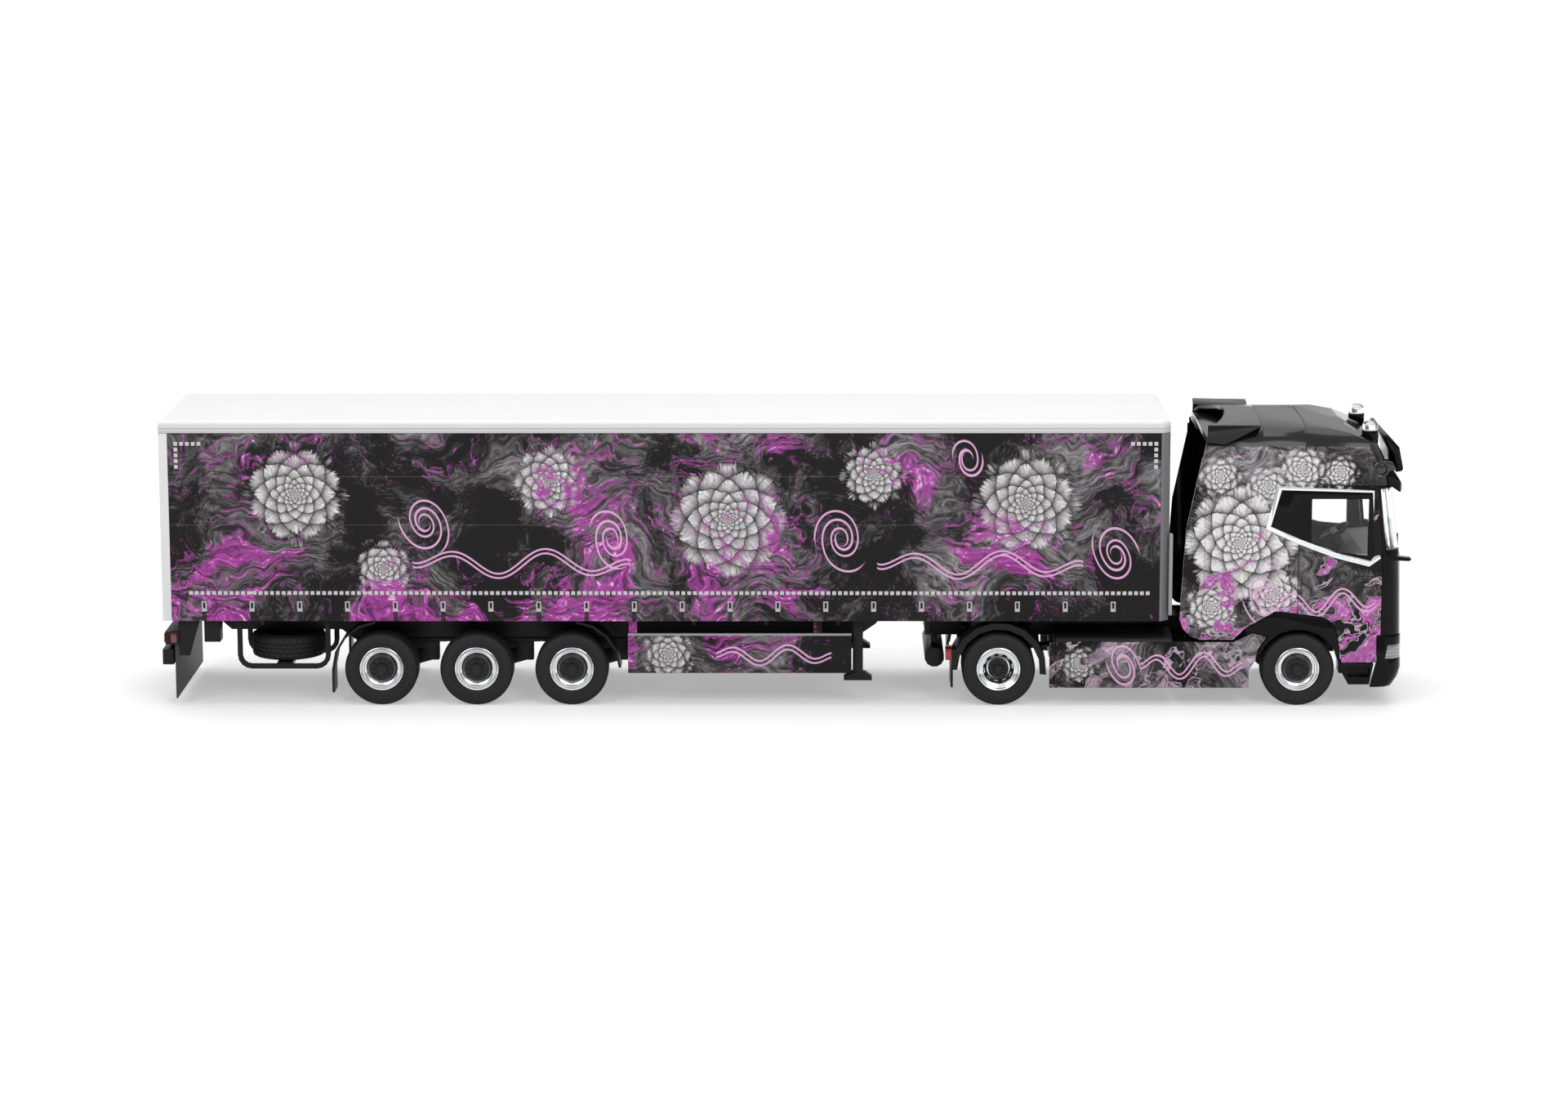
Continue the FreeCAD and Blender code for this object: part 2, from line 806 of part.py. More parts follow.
def spare():
    """The spare wheel lying flat, with a plain disc across its bore."""
    body = tyre(spare_width / 2, spare_width, 0, 0)
    disc = turned_across([(tyre_bore + overlap, -spare_disc), (tyre_bore + overlap, 0),
                          (hub_radius, spare_disc)], 0, 0, tyre_flats, False)
    whole = fused([body, disc])
    whole.rotate(V(0, 0, 0), V(1, 0, 0), -90)
    whole.translate(V(spare_station, -cage_outer + spare_in_cage, spare_low + spare_width / 2))
    return whole


save("spare_wheel", [spare()])


def hoop_fill(inset, outer):
    """The area inside a hanging hoop with rounded lower corners."""
    low = cage_low + inset
    half = cage_half_length - inset
    bend = cage_bend - inset
    right = arc_points(spare_station + half - bend, low + bend, bend, -90, 0)
    left = [(2 * spare_station - x, z) for x, z in reversed(right)]
    return side_prism([(spare_station - half, under_deck)] + left + right
                      + [(spare_station + half, under_deck)], outer, outer + cage_bar)


def cage_hoop(outer):
    return hoop_fill(0, outer).cut(hoop_fill(cage_bar, outer))


cradle = box(spare_station - cradle_half, spare_station + cradle_half, -cage_outer + cage_bar / 2,
             -cage_outer + cage_depth, cage_low + cage_bar / 4, spare_low - seat_gap)
save("spare_carrier", [fused([cage_hoop(-cage_outer), cage_hoop(-cage_outer + cage_depth), cradle])])


def axle_arm(station):
    """A trailing arm from its hanger bracket to the air bellows, with the axle's bearing."""
    y = beam_half_spacing + beam_web / 2
    y0 = y - arm_half_width
    y1 = y + arm_half_width
    z = axle_height
    hanger_top = beam_low - seat_gap
    x = station + hanger_ahead
    half = hanger_length / 2
    hanger = side_prism([(x - half - hanger_rake, hanger_top), (x - half, hanger_low),
                         (x + half, hanger_low), (x + half, hanger_top)], y0, y1)
    tip = arm_height / 3
    arm = side_prism([(station - arm_tail, z - tip), (station - arm_eye, z - arm_eye),
                      (station + arm_eye, z - arm_eye), (x, hanger_low), (x, hanger_low + arm_height),
                      (station + arm_eye, z + arm_eye), (station - arm_eye, z + arm_eye),
                      (station - arm_tail, z + tip)], y0, y1)
    bellows = turned_up([(bellows_radius, z), (bellows_radius, hanger_top)], station - bellows_behind, y,
                        bellows_flats)
    return fused([hanger, arm, bellows]).cut(axle_bearing(station, y0 - overlap, y1 + overlap))


arms = []
for n in range(trailer_axles):
    arms += both_sides(axle_arm(trailer_axle_first + n * trailer_axle_spacing))
save("trailer_axle_arms", arms)


def trailer_guards():
    """A rear mudguard with its flap behind the last axle and a front one ahead of the first."""
    y0 = -track_half + overlap
    y1 = y0 + guard_arc_width
    inner = guard_arc_radius - guard_skin
    rear = ring_sector(last_axle, axle_height, inner, guard_arc_radius, 180 - guard_arc_end, 180, y0, y1)
    flap_x = last_axle - guard_arc_radius
    flap = box(flap_x, flap_x + guard_skin, y0, y1, guard_flap_low, axle_height + overlap)
    ahead = ring_sector(first_axle, axle_height, inner, guard_arc_radius, guard_arc_start, guard_arc_end,
                        y0, y1)
    return [fused([rear, flap]), ahead]


guards = trailer_guards()
save("trailer_mudguards", guards + [other_side(g) for g in guards])


# Rear end: lamp bar with side plates, underrun beam, lamps and flap.
bar_high = deck_underside - rear_bar_drop
bar_low = bar_high - rear_bar_thickness
bar_rear = rear_bar_inset
bar_front = bar_rear + rear_bar_depth


def rear_beams():
    lamp_bar = box(bar_rear, bar_front, -track_half, track_half, bar_low, bar_high)
    plate_low = bar_low - side_plate_low
    side_plate = side_prism([(bar_front - overlap, bar_low + overlap), (bar_front, plate_low),
                             (bar_front + side_plate_length / 2, plate_low),
                             (bar_front + side_plate_length, under_deck),
                             (bar_front - overlap, under_deck)],
                            -side_plate_outer, -side_plate_outer + side_plate_thickness)
    stay = box(bar_rear + overlap, underrun_front, -stay_outer, -stay_outer + stay_width,
               underrun_high - overlap, bar_low + overlap)
    underrun = box(-underrun_overhang, underrun_front, -underrun_half, underrun_half,
                   underrun_low, underrun_high)
    return fused([lamp_bar, underrun] + both_sides(side_plate) + both_sides(stay))


save("rear_underrun", [rear_beams()])

rear_lamp = box(0, bar_rear, -track_half + overlap, -track_half + overlap + rear_lamp_length,
                bar_low + rear_lamp_margin, bar_high - rear_lamp_margin)
end_lamp = box(bar_rear + end_lamp_length, bar_rear + 2 * end_lamp_length, -track_half - end_lamp_stand,
               -track_half, bar_low + rear_lamp_margin, bar_high - rear_lamp_margin)
save("rear_lamps", both_sides(rear_lamp) + both_sides(end_lamp))

flap = box(flap_station - flap_thickness / 2, flap_station + flap_thickness / 2, -flap_half, flap_half,
           flap_low, bar_low - seat_gap)
save("rear_flap", [flap])


# Tractor frame with its fifth wheel, tanks, skirts and rear mudguards.
frame_rear = drive_station - frame_tail
gearbox_station = cab_rear - gearbox_rear


def tractor_frame():
    frame_front = nose - frame_front_setback
    pieces = both_sides(box(frame_rear, frame_front, -frame_half, -frame_half + frame_rail,
                            frame_low, frame_high))
    rear_members = [frame_rear, drive_station - member_reach, drive_station + member_reach,
                    (drive_station + gearbox_station) / 2, gearbox_station - 2 * member_length]
    for x in rear_members + [frame_front - 2 * member_length]:
        pieces.append(box(x, x + member_length, -frame_half, frame_half, frame_low + member_inset,
                          frame_high - member_inset))
    pieces.append(box(frame_rear, frame_rear + member_length, -frame_tail_half, frame_tail_half,
                      frame_low + member_inset, frame_high))
    tank_x = frame_rear + air_tank_radius
    pieces.append(turned_across([(air_tank_radius, -air_tank_half), (air_tank_radius, air_tank_half)],
                                tank_x, air_tank_height, tube_flats, False))
    strap = box(tank_x - member_length / 2, tank_x + member_length / 2, -frame_half,
                -frame_half + frame_rail, air_tank_height, frame_low + overlap)
    return fused(pieces + both_sides(strap))


save("tractor_frame", [tractor_frame()])


def fifth_wheel():
    """The coupling plate with its throat and two pedestals on the frame."""
    k = kingpin_station
    top = deck_underside - kingpin_plate_thickness - coupling_gap
    low = top - fifth_wheel_thickness
    rear = k - fifth_wheel_rear
    throat_radius = kingpin_radius + running_gap
    half = [(k - fifth_wheel_jaw, throat_radius), (rear, fifth_wheel_jaw), (rear, fifth_wheel_ramp),
            (k - fifth_wheel_jaw, fifth_wheel_half), (k + fifth_wheel_jaw, fifth_wheel_half),
            (k + fifth_wheel_front, fifth_wheel_nose)]
    plate = plan_prism(half + [(x, -y) for x, y in reversed(half)], low, top)
    throat = upright_rod(k, 0, throat_radius, low - overlap, top + overlap)
    slot = box(k - fifth_wheel_jaw - overlap, k, -throat_radius, throat_radius,
               low - overlap, top + overlap)
    pedestal = box(k - pedestal_half, k + pedestal_half, -frame_half - seat_gap, -frame_half + frame_rail,
                   frame_high, low + overlap)
    return fused([plate.cut(throat).cut(slot)] + both_sides(pedestal))


save("fifth_wheel", [fifth_wheel()])

skirt_inner = cab_half - skirt_thickness
tank_outer = skirt_inner - seat_gap
tank_inner = frame_half + seat_gap


def fuel_tanks():
    """A tank with rounded long edges, a silencer box and the skirt's end block."""
    tank_front = cab_rear - tank_behind_cab
    tank_rear = drive_station + tank_after_axle
    corners = []
    centres = [(-tank_inner - tank_round, tank_low + tank_round),
               (-tank_inner - tank_round, tank_high - tank_round),
               (-tank_outer + tank_round, tank_high - tank_round),
               (-tank_outer + tank_round, tank_low + tank_round)]
    for quarter, (y, z) in enumerate(centres):
        arc = arc_points(y, z, tank_round, 90 * (quarter - 1), 90 * quarter)
        corners += [V(tank_rear, py, pz) for py, pz in arc]
    section = Part.Face(Part.makePolygon(corners + corners[:1]))
    tank = section.extrude(V(tank_front - tank_rear, 0, 0))
    silencer = box(tank_front + silencer_space, front_station - silencer_setback, -tank_outer, -tank_inner,
                   tank_low, silencer_high)
    end = box(front_station - silencer_setback, front_station - skirt_end_setback + skirt_end_length,
              -tank_outer, -cab_half + skirt_end_depth, skirt_low, silencer_high)
    return [tank, fused([silencer, end])]


tanks = fuel_tanks()
save("fuel_tanks", tanks + [other_side(t) for t in tanks])

skirt_rear = drive_station + skirt_after_axle
skirt_outline = [(skirt_rear, skirt_low)] + shifted(skirt_nose, front_station) + [(skirt_rear, skirt_high)]
save("side_skirts", both_sides(side_prism(skirt_outline, -cab_half, -skirt_inner)))

lamp_rear = drive_station - mudguard_outer - tail_lamp_space
lamp_front = lamp_rear + tail_lamp_depth
lamp_low = axle_height + tail_lamp_rise
lamp_high = lamp_low + tail_lamp_height


def rear_mudguard():
    """A half-round guard over the twin tyres with a rolled outer edge, stays, flap and lamp bracket."""
    y0 = -track_half - overlap
    y1 = y0 + mudguard_width
    x = drive_station
    z = axle_height
    start = mudguard_start
    end = mudguard_end
    skin = ring_sector(x, z, mudguard_outer - mudguard_skin, mudguard_outer, start, end, y0, y1)
    edge = ring_sector(x, z, mudguard_inner, mudguard_outer, start, end, y0, y0 + mudguard_skin)
    middle_radius = mudguard_outer - mudguard_skin / 2
    rise = (frame_low + frame_high) / 2 - z
    reach = math.sqrt(middle_radius ** 2 - rise ** 2)
    stays = []
    for side in (-1, 1):
        stay_x = x + side * reach
        stays.append(box(stay_x - member_inset, stay_x + member_inset, y1 - overlap, -frame_half - seat_gap,
                         z + rise - member_inset, z + rise + member_inset))
    bracket = box(lamp_front, x - mudguard_inner - seat_gap, y0 + overlap, y0 + overlap + tail_lamp_width,
                  lamp_low, lamp_high)
    flap = box(x - mudguard_outer, x - mudguard_outer + guard_skin, y0 + overlap, y1 - overlap,
               mudguard_flap_low, z + overlap)
    return fused([skin, edge, bracket, flap] + stays)


save("rear_mudguards", both_sides(rear_mudguard()))
tail_lamp = box(lamp_rear, lamp_front - seat_gap, -track_half + overlap,
                -track_half - overlap + tail_lamp_width, lamp_low, lamp_high)
save("tail_lamps", both_sides(tail_lamp))


def spring_hanger(station):
    """A leaf spring with its eyes, which carries the axle's bearing."""
    z = axle_height
    top = frame_low - seat_gap
    end_low = top - spring_end_height
    right = [(station + spring_eye, z - spring_low), (station + spring_half, end_low),
             (station + spring_half, top), (station + spring_half - spring_end, top),
             (station + spring_eye, z + spring_high)]
    left = [(2 * station - px, pz) for px, pz in reversed(right)]
    spring = side_prism(right + left, -frame_half - overlap, -frame_half + frame_rail)
    return spring.cut(axle_bearing(station, -2 * frame_half, 0))


save("axle_carriers", both_sides(spring_hanger(front_station)) + both_sides(spring_hanger(drive_station)))


def drivetrain():
    """Engine, gearbox, propeller shaft and the differential round the drive axle."""
    block_half = frame_half - frame_rail - seat_gap
    engine_rear = front_station - engine_rear_setback
    engine = box(engine_rear, front_station + engine_front, -block_half, block_half, engine_low, frame_high)
    gearbox = side_prism([(gearbox_station, gearbox_low),
                          (engine_rear + overlap, gearbox_low - gearbox_flare),
                          (engine_rear + overlap, gearbox_high + gearbox_flare_high),
                          (gearbox_station, gearbox_high)], -gearbox_half, gearbox_half)
    start = V(gearbox_station + overlap, 0, shaft_high)
    end = V(drive_station + differential_half, 0, axle_height + shaft_radius)
    rings = []
    for p in (end, start):
        turns = [2 * math.pi * (k + 0.5) / shaft_flats for k in range(shaft_flats)]
        rings.append([V(p.x, shaft_radius * math.cos(a), p.z + shaft_radius * math.sin(a)) for a in turns])
    shaft = skinned(rings, False)
    differential = turned_across([(differential_radius, -differential_half),
                                  (differential_radius, differential_half)],
                                 drive_station, axle_height, tube_flats, False)
    whole = fused([engine, gearbox, shaft, differential])
    return whole.cut(axle_bearing(drive_station, -track_half, track_half))


save("drivetrain", [drivetrain()])


# Cab: a hollow shell through plan outlines, cut under a crowned roof, then parted where the
# real panels meet.
def mirrored_across(points):
    return [V(p.x, -p.y, p.z) for p in reversed(points)]


def plan_ring(height, front, inset):
    """The cab's outline in plan at one height, its curves in short flats."""
    w = cab_half - inset
    f = front - inset
    inner = w - corner_width
    turn = V(f - corner_length, -w, height)
    corner = V(f - front_bulge, -inner, height)
    side_mid = V(turn.x + corner_length * corner_mid_ahead, -w + corner_width * corner_mid_in, height)
    right = Part.Arc(turn, side_mid, corner).toShape().discretize(corner_flats + 1)
    ahead = Part.Arc(corner, V(f, 0, height), V(corner.x, inner, height)).toShape()
    ahead = ahead.discretize(front_flats + 1)
    back = cab_rear + inset
    return [V(back, w, height), V(back, -w, height)] + right + ahead[1:-1] + mirrored_across(right)


def cross_section(inset, x0, x1):
    """The cab's outline seen from ahead, with upright sides and a crowned roof."""
    w = cab_half - inset
    shoulder = V(x0, shoulder_half - inset / 2, roof_shoulder - inset)
    bow = V(x0, w - shoulder_bow, roof_shoulder - bow_drop - inset / 2)
    spring = V(x0, w, roof_spring)
    side = Part.Arc(spring, bow, shoulder).toShape().discretize(corner_flats + 1)
    crown = Part.Arc(shoulder, V(x0, 0, roof_crown - inset), V(x0, -shoulder.y, shoulder.z)).toShape()
    points = [V(x0, w, 0)] + side + crown.discretize(front_flats + 1)[1:-1] + mirrored_across(side)
    points.append(V(x0, -w, 0))
    return Part.Face(Part.makePolygon(points + points[:1])).extrude(V(x1 - x0, 0, 0))


def cab_volume(inset):
    front_profile = shifted(front_lower, nose) + shifted(front_upper, nose, roof_seam)
    rings = [plan_ring(z, x, inset) for x, z in front_profile]
    step = spoiler_front + inset
    roofline = [(cab_rear - overlap, 0), (cab_rear - overlap, rear_deck_high - inset),
                (step, rear_deck_high - inset), (step, roof_crown + overlap - inset)]
    roofline += shifted(roof_profile, nose, roof_crown - inset) + [(nose + roof_profile[-1][0], 0)]
    return (skinned(rings, False).common(cross_section(inset, cab_rear - overlap, beyond))
            .common(side_prism(roofline, -cab_half, cab_half)))


cab_outer = cab_volume(0)
cab_space = cab_volume(-seat_gap)
shell = cab_outer.cut(cab_volume(cab_wall))


def skin_cut(depth, zone):
    """What a shallow recess of one depth takes from the cab's outside."""
    return cab_outer.cut(cab_volume(depth)).common(zone)


# The wheel arch and the lower edge of the cab sides
arch_edge = shifted(arch_outline, front_station)
below = [(0, 0), (0, cab_low)] + arch_edge + [(bumper_rear, door_low), (bumper_rear, bumper_top),
                                              (beyond, bumper_top), (beyond, 0)]
shell = shell.cut(side_prism(below, -2 * cab_half, 2 * cab_half))

side_depth = cab_wall + panel_gap
pillar_top = door_front - pillar_lean


def over_sides(points):
    """Two slabs of one outline that take in only the cab's side walls."""
    return both_sides(side_prism(points, -2 * cab_half, -cab_half + side_depth))


line = door_line / 2
door_shape = [(door_rear + line, 0), (door_rear + line, roof_seam - line),
              (pillar_top - line, roof_seam - line), (door_front - line, belt_front),
              (door_front - line, 0)]
door_slabs = over_sides(door_shape)
below_seam = box(0, beyond, -2 * cab_half, 2 * cab_half, 0, roof_seam)
front_zone = side_prism([(door_front, 0), (door_front, belt_front), (pillar_top, roof_seam),
                         (beyond, roof_seam), (beyond, 0)], -2 * cab_half, 2 * cab_half)

glass_low = belt_front + glass_margin
glass_high = roof_seam - glass_top_margin
glass_edge = [(door_front + glass_side_margin, glass_low), (pillar_top + glass_side_margin, glass_high),
              (beyond, glass_high), (beyond, glass_low)]
glass_zone = side_prism(glass_edge, -2 * cab_half, 2 * cab_half)
glass_shell = cab_volume(glass_reveal).cut(cab_volume(glass_reveal + glass_thickness))
save("windscreen", [glass_shell.common(glass_zone)])


def cab_front():
    """The front panel with its grille slots and the ledges at the foot of the windscreen."""
    panel = shell.common(front_zone).cut(glass_zone)
    for n in range(grille_slots):
        z = grille_low + n * grille_pitch
        slot = box(door_front, beyond, -grille_half, grille_half, z, z + grille_slot)
        panel = panel.cut(skin_cut(grille_depth, slot))
    ledge = side_prism(shifted(ledge_outline, nose, belt_front), -cab_half + overlap,
                       -cab_half + overlap + ledge_width)
    return fused([panel] + both_sides(ledge.cut(cab_outer)))


save("cab_front", [cab_front()])


def cab_roof():
    """The roof shell with a groove across it, a crease along each side and the camera pods."""
    roof_panel = shell.common(box(0, beyond, -2 * cab_half, 2 * cab_half, roof_seam, beyond))
    groove_x = nose + roof_profile[0][0]
    groove = box(groove_x, groove_x + groove_width, -cab_half, cab_half, roof_seam, beyond)
    roof_panel = roof_panel.cut(skin_cut(groove_depth, groove))
    for slab in over_sides(shifted(crease_outline, nose, roof_seam)):
        roof_panel = roof_panel.cut(skin_cut(crease_depth, slab))
    x = nose - camera_setback
    pod = box(x, x + camera_length, -cab_half - camera_reach, -cab_half + overlap,
              roof_seam + line, roof_seam + line + camera_height)
    return fused([roof_panel] + both_sides(pod))


save("cab_roof", [cab_roof()])

# Doors with their window openings, and the rear cell with its quarter windows
window_rear = door_rear + window_after_line
window_front = door_front - window_before_line
window_middle = (window_rear + window_front) / 2
window_high = roof_seam - window_drop
door_glass = [(window_rear, window_high), (window_rear, belt_front + 1.1),
              (window_middle, belt_front - 0.2), (window_front, belt_front - 0.6),
              (window_front, window_high)]


def cab_doors():
    lower = shell.common(below_seam).cut(side_prism(door_glass, -2 * cab_half, 2 * cab_half))
    handle_x = door_rear + handle_behind
    handle_low = belt_front - handle_drop
    handle = box(handle_x, handle_x + handle_length, -cab_half - overlap, -cab_half + handle_depth,
                 handle_low, handle_low + handle_height)
    right = lower.common(door_slabs[0]).cut(handle)
    return both_sides(right)


save("cab_doors", cab_doors())

quarter_window = [(door_rear - 2.6, roof_seam - 1.0), (door_rear - 4.2, belt_front + 4.1),
                  (door_rear - 0.6, belt_front + 2.5), (door_rear - 0.6, roof_seam - 1.0)]
rear_cell = shell.common(box(0, door_rear - line, -2 * cab_half, 2 * cab_half, 0, roof_seam))
rear_cell = rear_cell.cut(side_prism(quarter_window, -2 * cab_half, 2 * cab_half))
frame_space = box(0, front_station, -frame_half - panel_gap, frame_half + panel_gap,
                  0, frame_high + panel_gap)
save("cab_rear", [rear_cell.cut(frame_space)])

glass_out = cab_half - side_glass_inset
door_pane = plate_of(grown(door_glass, -seat_gap), -glass_out, -glass_out + side_glass_thickness)
save("side_windows", both_sides(door_pane))

# Black surrounds round the side windows, with the quarter panes, and bright trims round those
surround = [(door_rear - 2.8, roof_seam - 0.7), (door_rear - 4.4, belt_front + 4.0),
            (door_rear + 0.2, belt_front + 2.0), (window_middle - 0.6, belt_front - 0.1),
            (door_front - 1.9, belt_front - 1.4), (door_front - 1.2, belt_front - 0.5),
            (door_front - 1.8, roof_seam - 1.1)]
band = side_prism(surround, -cab_half - surround_stand, -cab_half)
band = band.cut(side_prism(door_glass, -2 * cab_half, 0))
pane = plate_of(grown(quarter_window, -seat_gap), -cab_half - surround_stand / 2,
                -cab_half + glass_thickness)
save("window_surrounds", both_sides(fused([band, pane])))

trim_outer = [(door_rear - 3.5, roof_seam - 0.1), (door_rear - 5.2, belt_front + 3.6),
              (door_rear, belt_front + 1.2), (window_middle - 0.8, belt_front - 0.9),
              (door_front - 2.1, belt_front - 2.3), (door_front - 0.3, belt_front - 1.0),
              (door_front - 0.5, belt_front - 0.5), (door_front - 1.7, belt_front - 0.8),
              (door_front - 1.5, roof_seam - 0.75)]
trim = side_prism(trim_outer, -cab_half - trim_stand, -cab_half)
trim = trim.cut(plate_of(grown(surround, seat_gap / 2), -2 * cab_half, 0))
save("window_trims", both_sides(trim))


# Inside the cab: one moulding with floor, bunk, seats and dashboard, and a steering wheel.
def seat(y):
    cushion = box(front_station - seat_rear_setback, front_station - seat_front_setback,
                  y - seat_half, y + seat_half, floor_height, seat_high)
    back = side_prism(shifted(seat_back_outline, front_station), y - seat_half, y + seat_half)
    head = side_prism(shifted(headrest_outline, front_station), y - headrest_half, y + headrest_half)
    return fused([cushion, back, head])


inside_half = cab_half - cab_wall - seat_gap
seat_offset = cab_half - seat_inset
inside_rear = cab_rear + cab_wall + seat_gap
room = cab_volume(cab_wall + seat_gap)
cab_floor = box(inside_rear, bumper_rear, -inside_half, inside_half, floor_height,
                floor_height + floor_thickness)
bunk = box(inside_rear, front_station - bunk_setback, -inside_half, inside_half, floor_height, bunk_high)
dash_half = cab_half - dash_inset
dash = side_prism(shifted(dash_outline, nose), -dash_half, dash_half)
interior = fused([cab_floor.common(room), bunk, seat(-seat_offset), seat(seat_offset), dash.common(room)])
save("cab_interior", [interior])


def steering_wheel():
    """Rim, two spokes and column, made flat about the origin, then tilted and set in place."""
    rings = []
    for k in range(wheel_flats):
        turn = 2 * math.pi * k / wheel_flats
        ring = []
        for m in range(wheel_rim_flats):
            around = 2 * math.pi * m / wheel_rim_flats
            out = wheel_ring_radius + wheel_rim_radius * math.cos(around)
            ring.append(V(out * math.cos(turn), out * math.sin(turn), wheel_rim_radius * math.sin(around)))
        rings.append(ring)
    half = spoke_thickness / 2
    cross = box(-spoke_half, spoke_half, -wheel_ring_radius, wheel_ring_radius, -half, half)
    lower = box(-wheel_ring_radius, 0, -spoke_half, spoke_half, -half, half)
    column = box(-column_half, column_half, -column_half, column_half, -column_length, 0)
    whole = fused([skinned(rings, True), cross, lower, column])
    whole.rotate(V(0, 0, 0), V(0, 1, 0), -wheel_tilt)
    whole.translate(V(nose - wheel_setback, seat_offset, wheel_height))
    return whole.cut(interior)


save("steering_wheel", [steering_wheel()])


# Around the front wheel: arch trims with the cab steps.
def front_fender():
    y0 = -cab_half
    x = front_station
    foot_rear = x + fender_well + seat_gap + fender_foot_land
    rear = arch_edge[1][0] + fender_rear_space
    edge = [(px, pz - panel_gap) for px, pz in arch_edge[1:-1]]
    step_front = bumper_rear - bumper_sweep
    outline = edge + [(arch_edge[-1][0] - panel_gap, door_low - panel_gap),
                      (bumper_rear - 2 * panel_gap, door_low - panel_gap), (step_front, fender_foot),
                      (foot_rear + fender_foot_chamfer, fender_foot), (foot_rear, fender_back_low),
                      (rear, fender_back_low), (rear, fender_rear_low + fender_tip)]
    solid = side_prism(outline, y0, y0 + fender_width)
    well = turned_across([(fender_well, -cab_half - overlap), (fender_well, 0)], x, axle_height,
                         tyre_flats, False)
    well_low = box(x - fender_well, x + fender_well, -2 * cab_half, 0, 0, axle_height)
    behind = box(0, x - fender_well + fender_rear_space, -2 * cab_half, 0, 0, fender_rear_low)
    step = box(foot_rear + step_inset, step_front, y0 - overlap, y0 + step_depth, step_low, step_high)
    skirt_space = plate_of(grown(skirt_outline, panel_gap), -2 * cab_half, 0)
    return solid.cut(well).cut(well_low).cut(behind).cut(step).cut(skirt_space)


save("front_fenders", both_sides(front_fender()))


# Front end: bumper, lamps, sun visor, marker lamps, light box and beacons.
def bumper_shape():
    """A shell bumper with a low air intake, rounded in plan like the cab."""
    outer = skinned([plan_ring(z, nose + x, 0) for x, z in bumper_profile], False)
    inner_rings = [plan_ring(z, nose - bumper_thickness, bumper_thickness) for z in (0, 2 * bumper_top)]
    rear = bumper_rear + panel_gap
    ahead = side_prism([(rear, bumper_top), (rear, door_low), (rear - panel_gap, door_low - bumper_notch),
                        (rear - bumper_sweep, bumper_low), (beyond, bumper_low), (beyond, bumper_top)],
                       -2 * cab_half, 2 * cab_half)
    intake = box(bumper_rear, beyond, -intake_half, intake_half, intake_low, intake_high)
    return outer.common(ahead).cut(skinned(inner_rings, False)).cut(intake)


bumper = bumper_shape()
headlamp_zone = side_prism(shifted(headlamp_outline, nose), -2 * cab_half, -cab_half + lamp_length)
headlamp = bumper.common(headlamp_zone)
save("bumper", [bumper.cut(headlamp_zone).cut(other_side(headlamp_zone))])

front_plan = skinned([plan_ring(z, nose - front_margin, 0) for z in (0, beyond)], False)
visor = side_prism(shifted(visor_outline, nose, roof_seam), -visor_half, visor_half)
save("sun_visor", [visor.common(front_plan).cut(cab_space)])

marker = side_prism(shifted(marker_outline, nose, roof_seam), -marker_outer, -marker_inner)
marker = marker.common(front_plan)
save("front_lamps", both_sides(headlamp) + both_sides(marker.cut(cab_space)))

light_box = side_prism(shifted(light_box_outline, nose, roof_crown), -light_box_half, light_box_half)
save("light_box", [light_box.cut(cab_space)])

beacon_station = nose - beacon_setback
beacon_seat = roof_crown - beacon_seat_drop
beacon_base_top = beacon_seat + beacon_base_height
beacon_top = beacon_base_top + beacon_dome_height
base = turned_up([(beacon_radius, beacon_seat), (beacon_radius, beacon_base_top)], beacon_station,
                 -beacon_width, beacon_flats)
save("beacon_bases", both_sides(base.cut(cab_space)))
dome_radius = beacon_radius - 2 * seat_gap
dome = turned_up([(dome_radius, beacon_base_top + seat_gap), (dome_radius, beacon_top - beacon_round),
                  (dome_radius - beacon_round, beacon_top)], beacon_station, -beacon_width, beacon_flats)
save("beacon_domes", both_sides(dome))


# Roof spoiler with its hollowed rear edge, end plates and the side deflectors
def roof_spoiler():
    rear = cab_rear + overlap
    body = cross_section(0, rear, spoiler_front - seat_gap)
    body = body.cut(cross_section(spoiler_skin, rear - overlap, spoiler_front - cab_wall))
    body = body.common(box(0, beyond, -cab_half, cab_half, rear_deck_high + seat_gap, beyond))
    centre = cab_rear + spoiler_hollow_depth - spoiler_hollow_radius
    curve = []
    for k in range(spoiler_flats + 1):
        angle = math.radians(spoiler_sweep) * (2 * k / spoiler_flats - 1)
        curve.append((centre + spoiler_hollow_radius * math.cos(angle),
                      spoiler_hollow_radius * math.sin(angle)))
    hollow = plan_prism(curve, roof_seam, beyond)
    fin = side_prism(shifted(fin_outline, cab_rear, roof_crown), -cab_half, -shoulder_half - fin_space)
    fin = fin.cut(cab_space).cut(cross_section(0, cab_rear - overlap, beyond))
    return fused([body.cut(hollow)] + both_sides(fin))


save("roof_spoiler", [roof_spoiler()])

deflector = side_prism(shifted(deflector_outline, cab_rear), -cab_half, -cab_half + deflector_thickness)
save("side_deflectors", both_sides(deflector))
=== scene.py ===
import bpy
import math
from mathutils import Matrix, Vector


